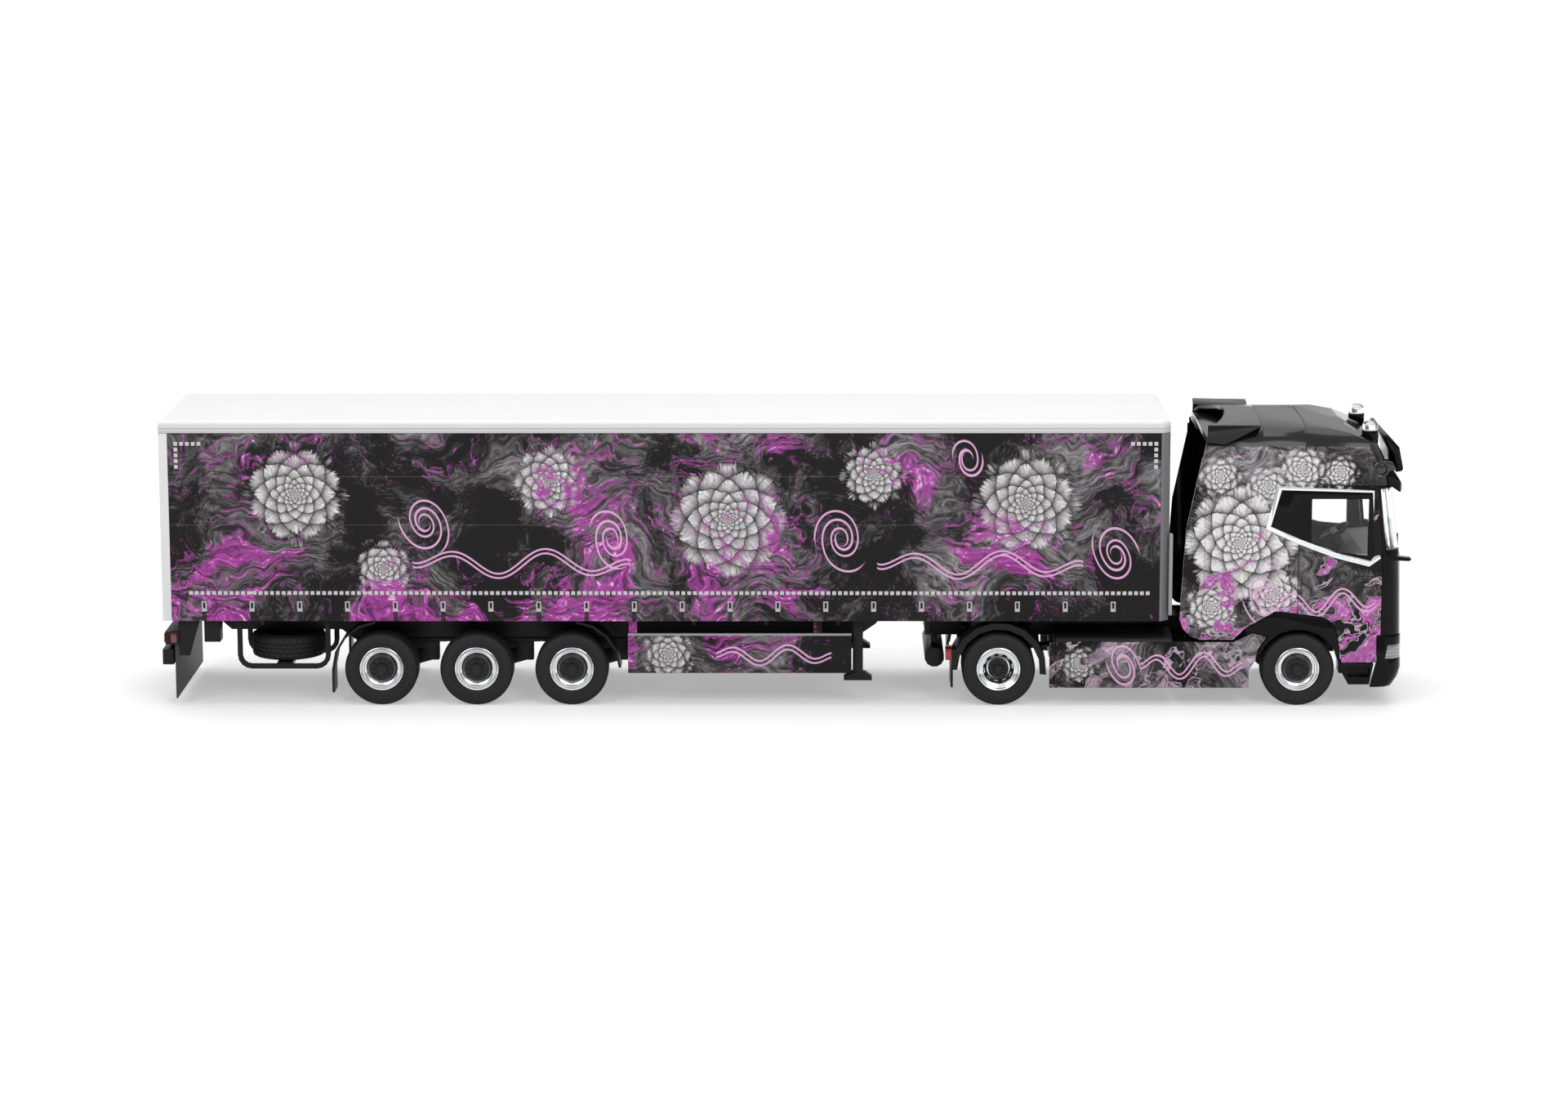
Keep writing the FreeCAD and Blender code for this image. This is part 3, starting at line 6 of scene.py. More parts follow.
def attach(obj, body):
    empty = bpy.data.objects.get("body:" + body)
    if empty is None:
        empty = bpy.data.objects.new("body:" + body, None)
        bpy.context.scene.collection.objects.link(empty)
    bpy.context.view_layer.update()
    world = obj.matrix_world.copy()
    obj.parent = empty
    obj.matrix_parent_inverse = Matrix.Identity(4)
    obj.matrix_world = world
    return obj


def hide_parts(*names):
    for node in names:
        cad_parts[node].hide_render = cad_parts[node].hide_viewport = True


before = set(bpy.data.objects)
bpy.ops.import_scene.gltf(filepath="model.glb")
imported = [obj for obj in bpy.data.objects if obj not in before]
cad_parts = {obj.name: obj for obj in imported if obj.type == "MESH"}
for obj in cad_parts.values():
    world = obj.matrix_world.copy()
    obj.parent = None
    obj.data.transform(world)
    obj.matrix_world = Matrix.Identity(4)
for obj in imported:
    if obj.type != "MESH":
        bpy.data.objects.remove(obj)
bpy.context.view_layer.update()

# Studio: a white sheet under the lorry and soft lamps above and in front of it. The camera stands
# where the photograph was taken from, level with the curtains and a little ahead of the middle.
camera_data = bpy.data.cameras.new("camera")
camera_data.lens = 97.31
camera_data.sensor_width = 36.0
camera_data.clip_start = 0.01
camera = bpy.data.objects.new("camera", camera_data)
bpy.context.collection.objects.link(camera)
camera.matrix_world = (Matrix.Translation((0.00604, -0.65977, 0.14507))
                       @ Matrix.Rotation(math.radians(0.539), 4, "Z")
                       @ Matrix.Rotation(math.radians(79.449), 4, "X")
                       @ Matrix.Rotation(math.radians(-0.085), 4, "Z"))
bpy.context.scene.camera = camera
bpy.context.scene.view_settings.view_transform = "Standard"


def srgb(code):
    """The linear colour of a six-digit screen colour."""
    parts = [int(code[k:k + 2], 16) / 255 for k in (0, 2, 4)]
    return tuple(c / 12.92 if c <= 0.04045 else ((c + 0.055) / 1.055) ** 2.4 for c in parts) + (1.0,)


class Nodes:
    """The nodes of one material, of one printed group or of the studio's world."""

    kinds = {"range": "ShaderNodeMapRange", "noise": "ShaderNodeTexNoise", "mix": "ShaderNodeMix"}

    def __init__(self, tree):
        self.tree = tree

    def fill(self, node, inputs):
        """Gives a node's inputs their values, or joins them to other nodes."""
        for name, value in inputs.items():
            if isinstance(value, bpy.types.Node):
                value = next(socket for socket in value.outputs if socket.enabled)
            if isinstance(value, bpy.types.NodeSocket):
                self.tree.links.new(value, node.inputs[name])
            else:
                node.inputs[name].default_value = value

    def add(self, kind, *values, **settings):
        """One more node, with its settings. Its open inputs are filled in order with numbers, colours
        or other nodes. A kind in capitals is that sum, and "mix" mixes two colours."""
        if kind.isupper():
            kind, settings = "ShaderNodeMath", {"operation": kind}
        elif kind == "mix":
            settings = {"data_type": "RGBA"}
        node = self.tree.nodes.new(self.kinds.get(kind, kind))
        for name, value in settings.items():
            setattr(node, name, value)
        places = [k for k, socket in enumerate(node.inputs) if socket.enabled]
        self.fill(node, dict(zip(places, values)))
        return node


def lamp(name, size, power, place, target):
    """A round soft lamp that looks at a target."""
    data = bpy.data.lights.new(name, "AREA")
    data.shape = "DISK"
    data.size = size
    data.energy = power
    obj = bpy.data.objects.new(name, data)
    bpy.context.collection.objects.link(obj)
    obj.location = place
    obj.rotation_euler = (Vector(target) - Vector(place)).to_track_quat("-Z", "Y").to_euler()


lamp("lamp_top", 1.0, 6.8, (0.05, 0.14, 1.0), (0, 0, 0))
lamp("lamp_front", 0.6, 3.2, (0.45, -0.95, 0.75), (0, 0, 0.02))
lamp("lamp_rear", 0.6, 2.2, (-0.6, -0.8, 0.7), (0, 0, 0.02))

# The camera sees the backdrop white. Bright surfaces mirror it dimmer at the horizon than above, which
# keeps the chrome from going flat, and the lorry itself gets an even light from it.
room_light = 0.42
dim_horizon = 0.36
world = bpy.data.worlds.new("studio")
bpy.context.scene.world = world
world.use_nodes = True
world.node_tree.nodes.clear()
sky = Nodes(world.node_tree)
ray = sky.add("ShaderNodeLightPath").outputs
upward = sky.add("ShaderNodeSeparateXYZ", sky.add("ShaderNodeTexCoord").outputs["Generated"]).outputs[2]
mirrored = sky.add("MULTIPLY", ray["Is Glossy Ray"], sky.add("range", upward, 0.02, 0.4, dim_horizon, 1.0))
seen = sky.add("MAXIMUM", ray["Is Camera Ray"], ray["Is Transmission Ray"])
seen = sky.add("MAXIMUM", sky.add("MAXIMUM", seen, mirrored), room_light)
sky.add("ShaderNodeOutputWorld", sky.add("ShaderNodeBackground", (1, 1, 1, 1), seen))

bpy.ops.mesh.primitive_grid_add(x_subdivisions=4, y_subdivisions=4, size=6.0, location=(0, 0, -0.00002))
sheet = bpy.context.object
sheet.name = "white_sheet"
# White paper, mottled faintly in spots of about 7 mm on its 6 m. It keeps the shadow near the lorry
# and fades to plain white away from it.
near_glow = 0.38
white_paper = bpy.data.materials.new("white_paper")
white_paper.use_nodes = True
white_paper.node_tree.nodes.clear()
paper = Nodes(white_paper.node_tree)
mottling = paper.add("noise")
paper.fill(mottling, {"Scale": 900.0, "Detail": 3.0})
matte = paper.add("ShaderNodeBsdfDiffuse", paper.add("range", mottling, 0.0, 1.0, 0.68, 0.72))
away = paper.add("ShaderNodeTexCoord").outputs["Object"]
away = paper.add("ShaderNodeVectorMath", away, operation="LENGTH")
far = paper.add("range", away, 0.13, 0.6, near_glow, 1.0)
ray = paper.add("ShaderNodeLightPath").outputs
seen = paper.add("MAXIMUM", ray["Is Camera Ray"], ray["Is Transmission Ray"])
seen = paper.add("MAXIMUM", seen, ray["Is Glossy Ray"])
glow = paper.add("ShaderNodeEmission")
paper.fill(glow, {"Strength": paper.add("MULTIPLY", seen, far)})
paper.add("ShaderNodeOutputMaterial", paper.add("ShaderNodeAddShader", matte, glow))
sheet.data.materials.append(white_paper)


# Trailer chassis: beams, outriggers, landing legs, arms, cage, mudguards and rear beams, moulded
# in satin black plastic in a few pieces and pressed together under the deck.
mm = 0.001
# Stations are counted forwards from the trailer's rear, and this one lies at the frame's origin.
middle = 96.65


def object_mm(nodes, scale=(1000.0, 1000.0, 1000.0), shift=(0.0, 0.0, 0.0)):
    """Object coordinates in millimetres, in which a noise's scale is one over its size."""
    place = nodes.add("ShaderNodeTexCoord").outputs["Object"]
    return nodes.add("ShaderNodeMapping", place, shift, (0.0, 0.0, 0.0), scale)


def moulded(name, dark, light, roughness, grain_scale, bump, coat=0.0, metallic=0.0, shine=0.5,
            printing=None):
    """A moulded plastic or plated finish: two close tones, a fine grain and uneven gloss, with what
    is printed on it where a printing is given. The mould's real grain is some 0.02 mm, too fine to
    show, so it is drawn 0.1 to 0.3 mm coarse."""
    material = bpy.data.materials.new(name)
    material.use_nodes = True
    nodes = Nodes(material.node_tree)
    spots = object_mm(nodes)
    fine = nodes.add("noise", spots, grain_scale, 3.0)
    colour = nodes.add("mix", nodes.add("noise", spots, 0.12, 4.0), srgb(dark), srgb(light))
    if printing:
        place = nodes.add("ShaderNodeSeparateXYZ", object_mm(nodes, shift=(middle, 0.0, 0.0)))
        colour = printing(nodes, place.outputs, colour)
    relief = nodes.add("ShaderNodeBump")
    nodes.fill(relief, {"Height": fine, "Strength": 0.25, "Distance": bump * mm})
    nodes.fill(material.node_tree.nodes["Principled BSDF"], {
        "Base Color": colour, "Normal": relief, "Coat Weight": coat, "Metallic": metallic,
        "Specular IOR Level": shine,
        "Roughness": nodes.add("range", fine, 0.0, 1.0, roughness - 0.06, roughness + 0.06)})
    return material


def select_only(obj):
    for other in bpy.context.selected_objects:
        other.select_set(False)
    obj.select_set(True)
    bpy.context.view_layer.objects.active = obj


def finish(obj, body, material, nodes=(), angle=35.0):
    """Smooths a piece, gives it its finish and fixes it to its body, in place of plain parts."""
    if obj.mode == "EDIT":
        bpy.ops.object.mode_set(mode="OBJECT")
    select_only(obj)
    bpy.ops.object.transform_apply(location=True, rotation=True, scale=True)
    bpy.ops.object.shade_smooth_by_angle(angle=math.radians(angle))
    obj.data.materials.clear()
    obj.data.materials.append(material)
    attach(obj, body)
    if nodes:
        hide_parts(*nodes)
    return obj


def shaped(obj, kind, **settings):
    """Gives a piece a modifier with its settings, and applies it."""
    modifier = obj.modifiers.new(kind.lower(), kind)
    for name, value in settings.items():
        setattr(modifier, name, value)
    bpy.ops.object.modifier_apply(modifier=modifier.name)


def dressed(node, body, material, edge, shaping=None):
    """A copy of a moulded part, shaped where asked and with its edges rounded, for the plain one."""
    sharp = 32.0
    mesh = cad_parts[node].data.copy()
    obj = bpy.data.objects.new(node + "_moulding", mesh)
    bpy.context.collection.objects.link(obj)
    select_only(obj)
    bpy.ops.object.mode_set(mode="EDIT")
    bpy.ops.mesh.select_all(action="SELECT")
    bpy.ops.mesh.remove_doubles(threshold=0.0005 * mm)
    bpy.ops.mesh.dissolve_limited(angle_limit=math.radians(0.6))
    bpy.ops.object.mode_set(mode="OBJECT")
    if shaping:
        shaping(obj)
    if edge:
        shaped(obj, "BEVEL", width=edge * mm, segments=2, limit_method="ANGLE",
               angle_limit=math.radians(sharp))
    return finish(obj, body, material, [node], sharp + 6)


# Moulded satin plastic: deep black with soft dull highlights along the beams and no mirror.
satin_black = moulded("satin_black_plastic", "0f0f10", "171718", 0.4, 7.0, 0.02, shine=0.22)
for node, edge in (("trailer_frame", 0.05), ("kingpin_plate", 0.04), ("landing_legs", 0.08),
                   ("spare_carrier", 0.1), ("trailer_axle_arms", 0.08), ("trailer_mudguards", 0.05),
                   ("rear_underrun", 0.1), ("trailer_deck", 0.06)):
    dressed(node, "trailer", satin_black, edge)
# Moulded rubber sheet: a flat dark grey, plainly paler and duller than the beam over it.
flap_rubber = moulded("flap_rubber", "3c3b3c", "4a494a", 0.55, 5.0, 0.04, shine=0.3)
dressed("rear_flap", "trailer", flap_rubber, 0.04)


# Tyres: matte black moulded rubber, pushed onto the rims, with a stepped sidewall, small cross lugs
# all round both shoulders, and a tread of four rows of blocks. The drive axle has twin tyres.
axle_height = 5.7
tyre_face = 14.2
twin_gap = 0.5
shoulder = 0.62
tread_rows = 4
tyre_steps = 144
block_steps = 4
# Moulded rubber: matte all over, a shade paler than the plastic so that lugs and blocks still read.
rubber = moulded("moulded_rubber", "171717", "222223", 0.6, 9.0, 0.03, shine=0.28)


def spot(x, y, z):
    """A place in the frame from its station, width and height in millimetres."""
    return Vector(((x - middle) * mm, y * mm, z * mm))


def placed(name):
    """The primitive just added, named and with its place applied."""
    obj = bpy.context.object
    obj.name = name
    bpy.ops.object.transform_apply(location=True, rotation=True, scale=True)
    return obj


def turned(name, points, station, height, steps):
    """A closed ring turned about a crosswise axis from (radius, width) points in millimetres."""
    places = [spot(station, y, height + r) for r, y in points]
    bpy.ops.mesh.primitive_plane_add(size=mm, location=places[0])
    obj = placed(name)
    bpy.ops.object.mode_set(mode="EDIT")
    bpy.ops.mesh.select_mode(type="VERT")
    bpy.ops.mesh.select_all(action="SELECT")
    bpy.ops.mesh.merge(type="CENTER")
    for here, there in zip(places, places[1:] + places[:1]):
        bpy.ops.mesh.extrude_vertices_move(TRANSFORM_OT_translate={"value": there - here})
    bpy.ops.mesh.select_all(action="SELECT")
    bpy.ops.mesh.remove_doubles(threshold=0.001 * mm)
    bpy.ops.mesh.spin(steps=steps, angle=2 * math.pi, center=spot(station, 0, height), axis=(0, 1, 0))
    bpy.ops.mesh.select_all(action="SELECT")
    bpy.ops.mesh.remove_doubles(threshold=0.002 * mm)
    bpy.ops.mesh.normals_make_consistent(inside=False)
    bpy.ops.object.mode_set(mode="OBJECT")
    return obj


def pick(obj, kind, test):
    """Goes into edit mode with only those faces or points selected that pass the test."""
    select_only(obj)
    bpy.ops.object.mode_set(mode="EDIT")
    bpy.ops.mesh.select_mode(type=kind)
    bpy.ops.mesh.select_all(action="DESELECT")
    bpy.ops.object.mode_set(mode="OBJECT")
    for part in obj.data.polygons if kind == "FACE" else obj.data.vertices:
        part.select = test(part)
    bpy.ops.object.mode_set(mode="EDIT")


def press(obj, test, edge, depth):
    """Insets the faces that pass the test by an edge, and lifts or presses them, in millimetres."""
    pick(obj, "FACE", test)
    bpy.ops.mesh.inset(thickness=edge * mm, depth=depth * mm)
    bpy.ops.object.mode_set(mode="OBJECT")


def about(face, station, height, steps):
    """A face's distance from a crosswise axis, and its step round it."""
    centre = spot(station, 0, height)
    across_x = face.center.x - centre.x
    across_z = face.center.z - centre.z
    turn = math.atan2(across_x, across_z) % (2 * math.pi)
    return math.hypot(across_x, across_z) / mm, int(turn / (2 * math.pi) * steps)


def joined(name, pieces):
    """Several pieces made one."""
    select_only(pieces[0])
    for piece in pieces[1:]:
        piece.select_set(True)
    bpy.ops.object.join()
    pieces[0].name = name
    return pieces[0]


def across(obj, station):
    """The same piece for the left side: a copy turned half way round the upright through its axle."""
    select_only(obj)
    bpy.ops.object.duplicate()
    copy = bpy.context.object
    centre = spot(station, 0, 0)
    copy.data.transform(Matrix.Translation(centre) @ Matrix.Rotation(math.pi, 4, "Z")
                        @ Matrix.Translation(-centre))
    return copy


def tyre(name, station, outer, width):
    """One tyre whose outer sidewall lies at a width on the right side."""
    o = -outer
    i = -outer + width
    tread = width - 2 * shoulder
    points = [(3.55, o + 0.34), (3.72, o + 0.16), (4.02, o + 0.14), (4.12, o + 0.03), (4.75, o),
              (4.98, o + 0.06), (5.02, o + 0.1), (5.36, o + 0.16), (5.58, o + 0.3), (5.7, o + shoulder)]
    for k in range(1, tread_rows):
        at = o + shoulder + tread * k / tread_rows
        points += [(5.7, at - 0.09), (5.62, at - 0.06), (5.62, at + 0.06), (5.7, at + 0.09)]
    points += [(5.7, i - shoulder), (5.58, i - 0.3), (5.36, i - 0.16), (4.98, i - 0.06), (4.75, i),
               (4.12, i - 0.03), (3.72, i - 0.16), (3.55, i - 0.34)]
    obj = turned(name, points, station, axle_height, tyre_steps)

    def lug_gaps(face):
        radius, step = about(face, station, axle_height, tyre_steps)
        return 5.38 < radius < 5.69 and step % 2 == 0

    def block_gaps(face):
        radius, step = about(face, station, axle_height, tyre_steps)
        row = int((face.center.y / mm - o - shoulder) / tread * tread_rows)
        return radius > 5.69 and (step + row * 2) % block_steps == 0
    press(obj, lug_gaps, 0.03, -0.12)
    press(obj, block_gaps, 0.03, -0.09)
    return obj


# Each axle's body and name, its station, the width of a tyre, and the tyres on each side.
axles = [("front_axle", "front", 176.5, 3.7, 1), ("drive_axle", "drive", 130.0, 3.15, 2),
         ("trailer_axle_1", "trailer_1", 63.5, 4.3, 1), ("trailer_axle_2", "trailer_2", 48.65, 4.3, 1),
         ("trailer_axle_3", "trailer_3", 33.8, 4.3, 1)]
for body, kind, station, width, count in axles:
    rings = []
    for n in range(count):
        ring = tyre(kind + "_tyre", station, tyre_face - n * (width + twin_gap), width)
        rings += [ring, across(ring, station)]
    finish(joined(kind + "_tyre_set", rings), body, rubber, [kind + "_tyres"], 40.0)

# Spare wheel: the same moulded rubber tyre, laid flat in its cage under the trailer's tail. A plain
# black disc is pressed across its bore.
spare_half = 1.95
spare_floor = 6.65
spare = tyre("spare_tyre", 0, spare_half, 2 * spare_half)
disc = turned("spare_disc", [(0.01, -0.75), (1.9, -0.75), (2.2, -0.6), (2.5, -0.1), (3.2, 0.0), (3.56, -0.6),
                             (3.56, 0.75), (3.2, 0.6), (0.01, 0.6)], 0, axle_height, 48)
spare = joined("spare_wheel_set", [spare, disc])
spare.data.transform(Matrix.Translation(spot(18.6, -7.0, spare_floor + spare_half))
                     @ Matrix.Rotation(-math.pi / 2, 4, "X") @ Matrix.Translation(-spot(0, 0, axle_height)))
finish(spare, "trailer", rubber, ["spare_wheel"], 40.0)

# Rims: moulded plastic plated bright, with a rolled lip, a second ring and small relief marks round
# it, pressed into the tyres. The drive rims are set deeper, with hand holes in the slope.
rim_inset = 0.3
rim_steps = 80
# How deep the rim's disc lies and how wide the hub's cap is, by the tyres on each side.
rim_forms = {1: (0.75, 2.02), 2: (1.4, 1.6)}
# Plated plastic: a clear mirror that shows the pale room above and dark bands off the hub and tyre.
plated = moulded("plated_plastic", "d4d5d8", "e8e9eb", 0.13, 5.0, 0.006, metallic=1.0)


def rim(name, station, width, dish, cap):
    """One bright rim on the right side, from its back edge round the lip to the hub."""
    face = -tyre_face + rim_inset
    disc = face + dish
    back = -tyre_face + width - rim_inset
    if dish > 1:
        front = [(3.3, face), (3.12, face + 0.1), (3.06, face + 0.3), (2.98, face + 0.36),
                 (2.42, face + 0.56), (2.34, face + 0.95), (cap + 0.35, disc - 0.12), (cap + 0.2, disc)]
        ring, span, edge, depth = (1.96, 2.34), 8, 0.05, -0.25
    else:
        front = [(3.3, face), (3.16, face + 0.12), (3.1, face + 0.42), (2.98, face + 0.5),
                 (2.92, face + 0.3), (2.75, face + 0.28), (2.7, face + 0.46), (2.55, face + 0.52),
                 (cap + 0.22, disc - 0.05), (cap + 0.12, disc)]
        ring, span, edge, depth = (2.76, 2.9), 2, 0.02, 0.07
    points = ([(0.8, back), (3.5, back), (3.53, face + 0.35), (3.5, face + 0.14), (3.4, face + 0.03)] + front
              + [(0.8, disc)])
    obj = turned(name, points, station, axle_height, rim_steps)

    def marks(f):
        radius, step = about(f, station, axle_height, rim_steps)
        return ring[0] < radius < ring[1] and step % span < span / 2 and f.center.y / mm < disc - 0.1
    press(obj, marks, edge, depth)
    return obj


for body, kind, station, width, count in axles:
    one = rim(kind + "_rim", station, count * width + (count - 1) * twin_gap, *rim_forms[count])
    finish(joined(kind + "_rim_set", [one, across(one, station)]), body, plated,
           [kind + "_rims"])

# Axles: a plain rod of moulded black plastic, pressed through the rims, with a stepped hub at each
# end. A ring of ten small nuts and one pointed mark stand on each hub, round a raised centre cap.
hub_inset = 0.45
nut_count = 10
# Moulded plastic: black with a little more gloss than the chassis, so that nuts and cap catch light.
hub_black = moulded("hub_black_plastic", "131314", "1e1e1f", 0.34, 8.0, 0.01, shine=0.3)


def outward(face):
    """A face that looks out to the right."""
    return face.normal.y < -0.9


def hub_nuts(station, stand, ring, cap):
    """Small nuts round the hub's face, with a pointed mark at the top."""
    nuts = []
    for k in range(nut_count):
        turn = 2 * math.pi * (k + 0.5) / nut_count
        place = spot(station + ring * math.sin(turn), -stand, axle_height + ring * math.cos(turn))
        bpy.ops.mesh.primitive_cylinder_add(vertices=6, radius=0.13 * mm, depth=0.24 * mm, location=place,
                                            rotation=(math.pi / 2, 0, turn))
        nuts.append(placed("hub_nut"))
        press(nuts[-1], outward, 0.03, 0.04)
    bpy.ops.mesh.primitive_cone_add(vertices=3, radius1=0.24 * mm, radius2=0.05 * mm, depth=0.16 * mm,
                                    location=spot(station, -stand - 0.06, axle_height + cap * 0.8),
                                    rotation=(math.pi / 2, 0, 0))
    nuts.append(placed("hub_mark"))
    press(nuts[-1], outward, 0.015, 0.02)
    return nuts


for body, kind, station, width, count in axles:
    dish, cap = rim_forms[count]
    stand = tyre_face - hub_inset
    disc = tyre_face - rim_inset - dish
    half = [(0.75, disc - 0.2), (cap, disc), (cap, stand - 0.22), (cap - 0.06, stand - 0.08),
            (cap - 0.2, stand - 0.03), (cap - 0.34, stand - 0.1), (cap - 0.42, stand - 0.12),
            (cap * 0.5, stand - 0.12), (cap * 0.46, stand + 0.18), (cap * 0.43, stand + 0.28),
            (cap * 0.36, stand + 0.3), (cap * 0.32, stand + 0.22), (0.3, stand + 0.2), (0.01, stand + 0.24)]
    rod = turned(kind + "_rod", [(r, -y) for r, y in reversed(half)] + half, station, axle_height, 60)
    nuts = hub_nuts(station, stand - 0.12, cap - 0.62, cap)
    sides = [across(nut, station) for nut in nuts]
    finish(joined(kind + "_axle_set", [rod] + nuts + sides), body, hub_black,
           [kind + "_axle"])


# Trailer box: a moulded white roof with a printed grey rail along its foot, a grey front wall with a
# pale strip on each corner, and white rear doors with grey lock rods, clipped onto the deck.
def within(nodes, value, low, high):
    """1 where a value lies between two others."""
    return nodes.add("MULTIPLY", nodes.add("GREATER_THAN", value, low), nodes.add("LESS_THAN", value, high))


def rail_band(nodes, place, colour):
    """The grey rail and its two fine lines along the roof's foot, the rail painted paler towards its top as
    painted light from above.
    """
    rail_top = 43.84
    # Painted light: the rail goes from a darker grey at its foot to a paler grey at its top.
    painted_top_light = nodes.add("range", place[2], 43.0, 43.8)
    rail = nodes.add("mix", painted_top_light, srgb("d2d1d2"), srgb("e6e5e6"))
    line = nodes.add("MAXIMUM", within(nodes, place[2], 43.72, rail_top),
                     within(nodes, place[2], 42.9, 43.06))
    rail = nodes.add("mix", nodes.add("MULTIPLY", line, 0.6), rail, srgb("8d8c8e"))
    return nodes.add("mix", nodes.add("LESS_THAN", place[2], rail_top), colour, rail)


def rod_tone(nodes, place, colour):
    """Grey lock rods, plates and hinges, which stand proud of the white doors."""
    door_face = -0.01
    return nodes.add("mix", nodes.add("LESS_THAN", place[0], door_face), colour, srgb("a9aaad"))


# Moulded white plastic on roof and doors: clean and even, with a soft sheen that doesn't clip.
white_roof = moulded("white_roof_plastic", "e9e9ea", "f0f0f0", 0.36, 4.0, 0.01, printing=rail_band)
white_plastic = moulded("white_plastic", "ececed", "f2f2f2", 0.38, 4.0, 0.01, printing=rod_tone)
# Moulded grey plastic on the wall, and a paler one on strips and rails: dull, with no bright edge.
grey_plastic = moulded("grey_plastic", "78787a", "828285", 0.45, 5.0, 0.02, shine=0.3)
pale_strip = moulded("pale_grey_plastic", "9c9c9e", "ababad", 0.4, 5.0, 0.02, shine=0.3)
dressed("trailer_roof", "trailer", white_roof, 0.1)
dressed("trailer_rear_doors", "trailer", white_plastic, 0.05)
dressed("trailer_front_wall", "trailer", grey_plastic, 0.1)


def bar(name, low, high, edge, face, sunk):
    """A rounded bar between two corners, with a shallow panel sunk in the face that looks one way."""
    bpy.ops.mesh.primitive_cube_add(size=1.0, location=(low + high) / 2, scale=high - low)
    obj = placed(name)
    press(obj, lambda f: f.normal.dot(Vector(face)) > 0.9, 1.6 * edge, -sunk)
    shaped(obj, "BEVEL", width=edge * mm, segments=3)
    return obj


strips = [bar("corner_strip", spot(156.25, side * 13.9 - 0.6, 14.4), spot(156.85, side * 13.9 + 0.6, 27.2),
              0.14, (1, 0, 0), 0.1) for side in (-1, 1)]
finish(joined("corner_strips", strips), "trailer", pale_strip)


# Curtains and side guards: thin black plastic, printed all over in one run with smoke, blossoms,
# magenta wisps and pink swashes. Straps, buckles and contour squares are printed over them.
def print_group(name, numbers, outputs):
    """An empty node group with a place, a centre and numbers going in, and its nodes."""
    group = bpy.data.node_groups.new(name, "ShaderNodeTree")
    for label in ("Vector", "Centre"):
        group.interface.new_socket(name=label, in_out="INPUT", socket_type="NodeSocketVector")
    for label in numbers:
        group.interface.new_socket(name=label, in_out="INPUT", socket_type="NodeSocketFloat")
    for label in outputs:
        group.interface.new_socket(name=label, in_out="OUTPUT", socket_type="NodeSocketFloat")
    nodes = Nodes(group)
    start = nodes.add("NodeGroupInput").outputs
    away = nodes.add("ShaderNodeVectorMath", start["Vector"], start["Centre"], operation="SUBTRACT")
    away = nodes.add("ShaderNodeSeparateXYZ", away).outputs
    return nodes, start, away[0], away[2]


def round_centre(nodes, x, z):
    """Distance and turn, from 0 to 1, about the group's centre."""
    radius = nodes.add("SQRT", nodes.add("ADD", nodes.add("MULTIPLY", x, x), nodes.add("MULTIPLY", z, z)))
    return radius, nodes.add("DIVIDE", nodes.add("ARCTAN2", z, x), 2 * math.pi)


def blossom_group():
    """A many-petalled blossom drawn in rings about a centre: how pale it is, and where it covers."""
    nodes, start, x, z = print_group("printed_blossom", ["Radius", "Petals"], ["Tone", "Area"])
    radius, turn = round_centre(nodes, x, z)
    ring = nodes.add("MULTIPLY", nodes.add("LOGARITHM", nodes.add("ADD", radius, 0.35), math.e), 2.1)
    along = nodes.add("MULTIPLY", turn, start["Petals"])
    one = nodes.add("FRACT", nodes.add("ADD", along, ring))
    two = nodes.add("FRACT", nodes.add("SUBTRACT", ring, along))
    petal = nodes.add("MULTIPLY", nodes.add("SINE", nodes.add("MULTIPLY", one, math.pi)),
                      nodes.add("SINE", nodes.add("MULTIPLY", two, math.pi)))
    tip = nodes.add("MULTIPLY", nodes.add("MULTIPLY", one, two), 0.85)
    vein = nodes.add("ShaderNodeCombineXYZ", nodes.add("MULTIPLY", turn, 46.0),
                     nodes.add("MULTIPLY", ring, 0.5))
    streak = nodes.add("noise", vein, 3.0, 3.0, 0.6)
    tone = nodes.add("MULTIPLY_ADD", nodes.add("POWER", petal, 0.7), 0.35, tip)
    tone = nodes.add("MULTIPLY", tone, nodes.add("range", streak, 0.3, 0.7, 0.55, 1.25))
    frill = nodes.add("MULTIPLY_ADD", petal, 1.3, nodes.add("range", streak, 0.3, 0.7, -0.9, 0.9))
    area = nodes.add("SUBTRACT", nodes.add("ADD", frill, start["Radius"]), radius)
    nodes.add("NodeGroupOutput", tone, nodes.add("range", area, 0.2, 1.5))
    return nodes.tree


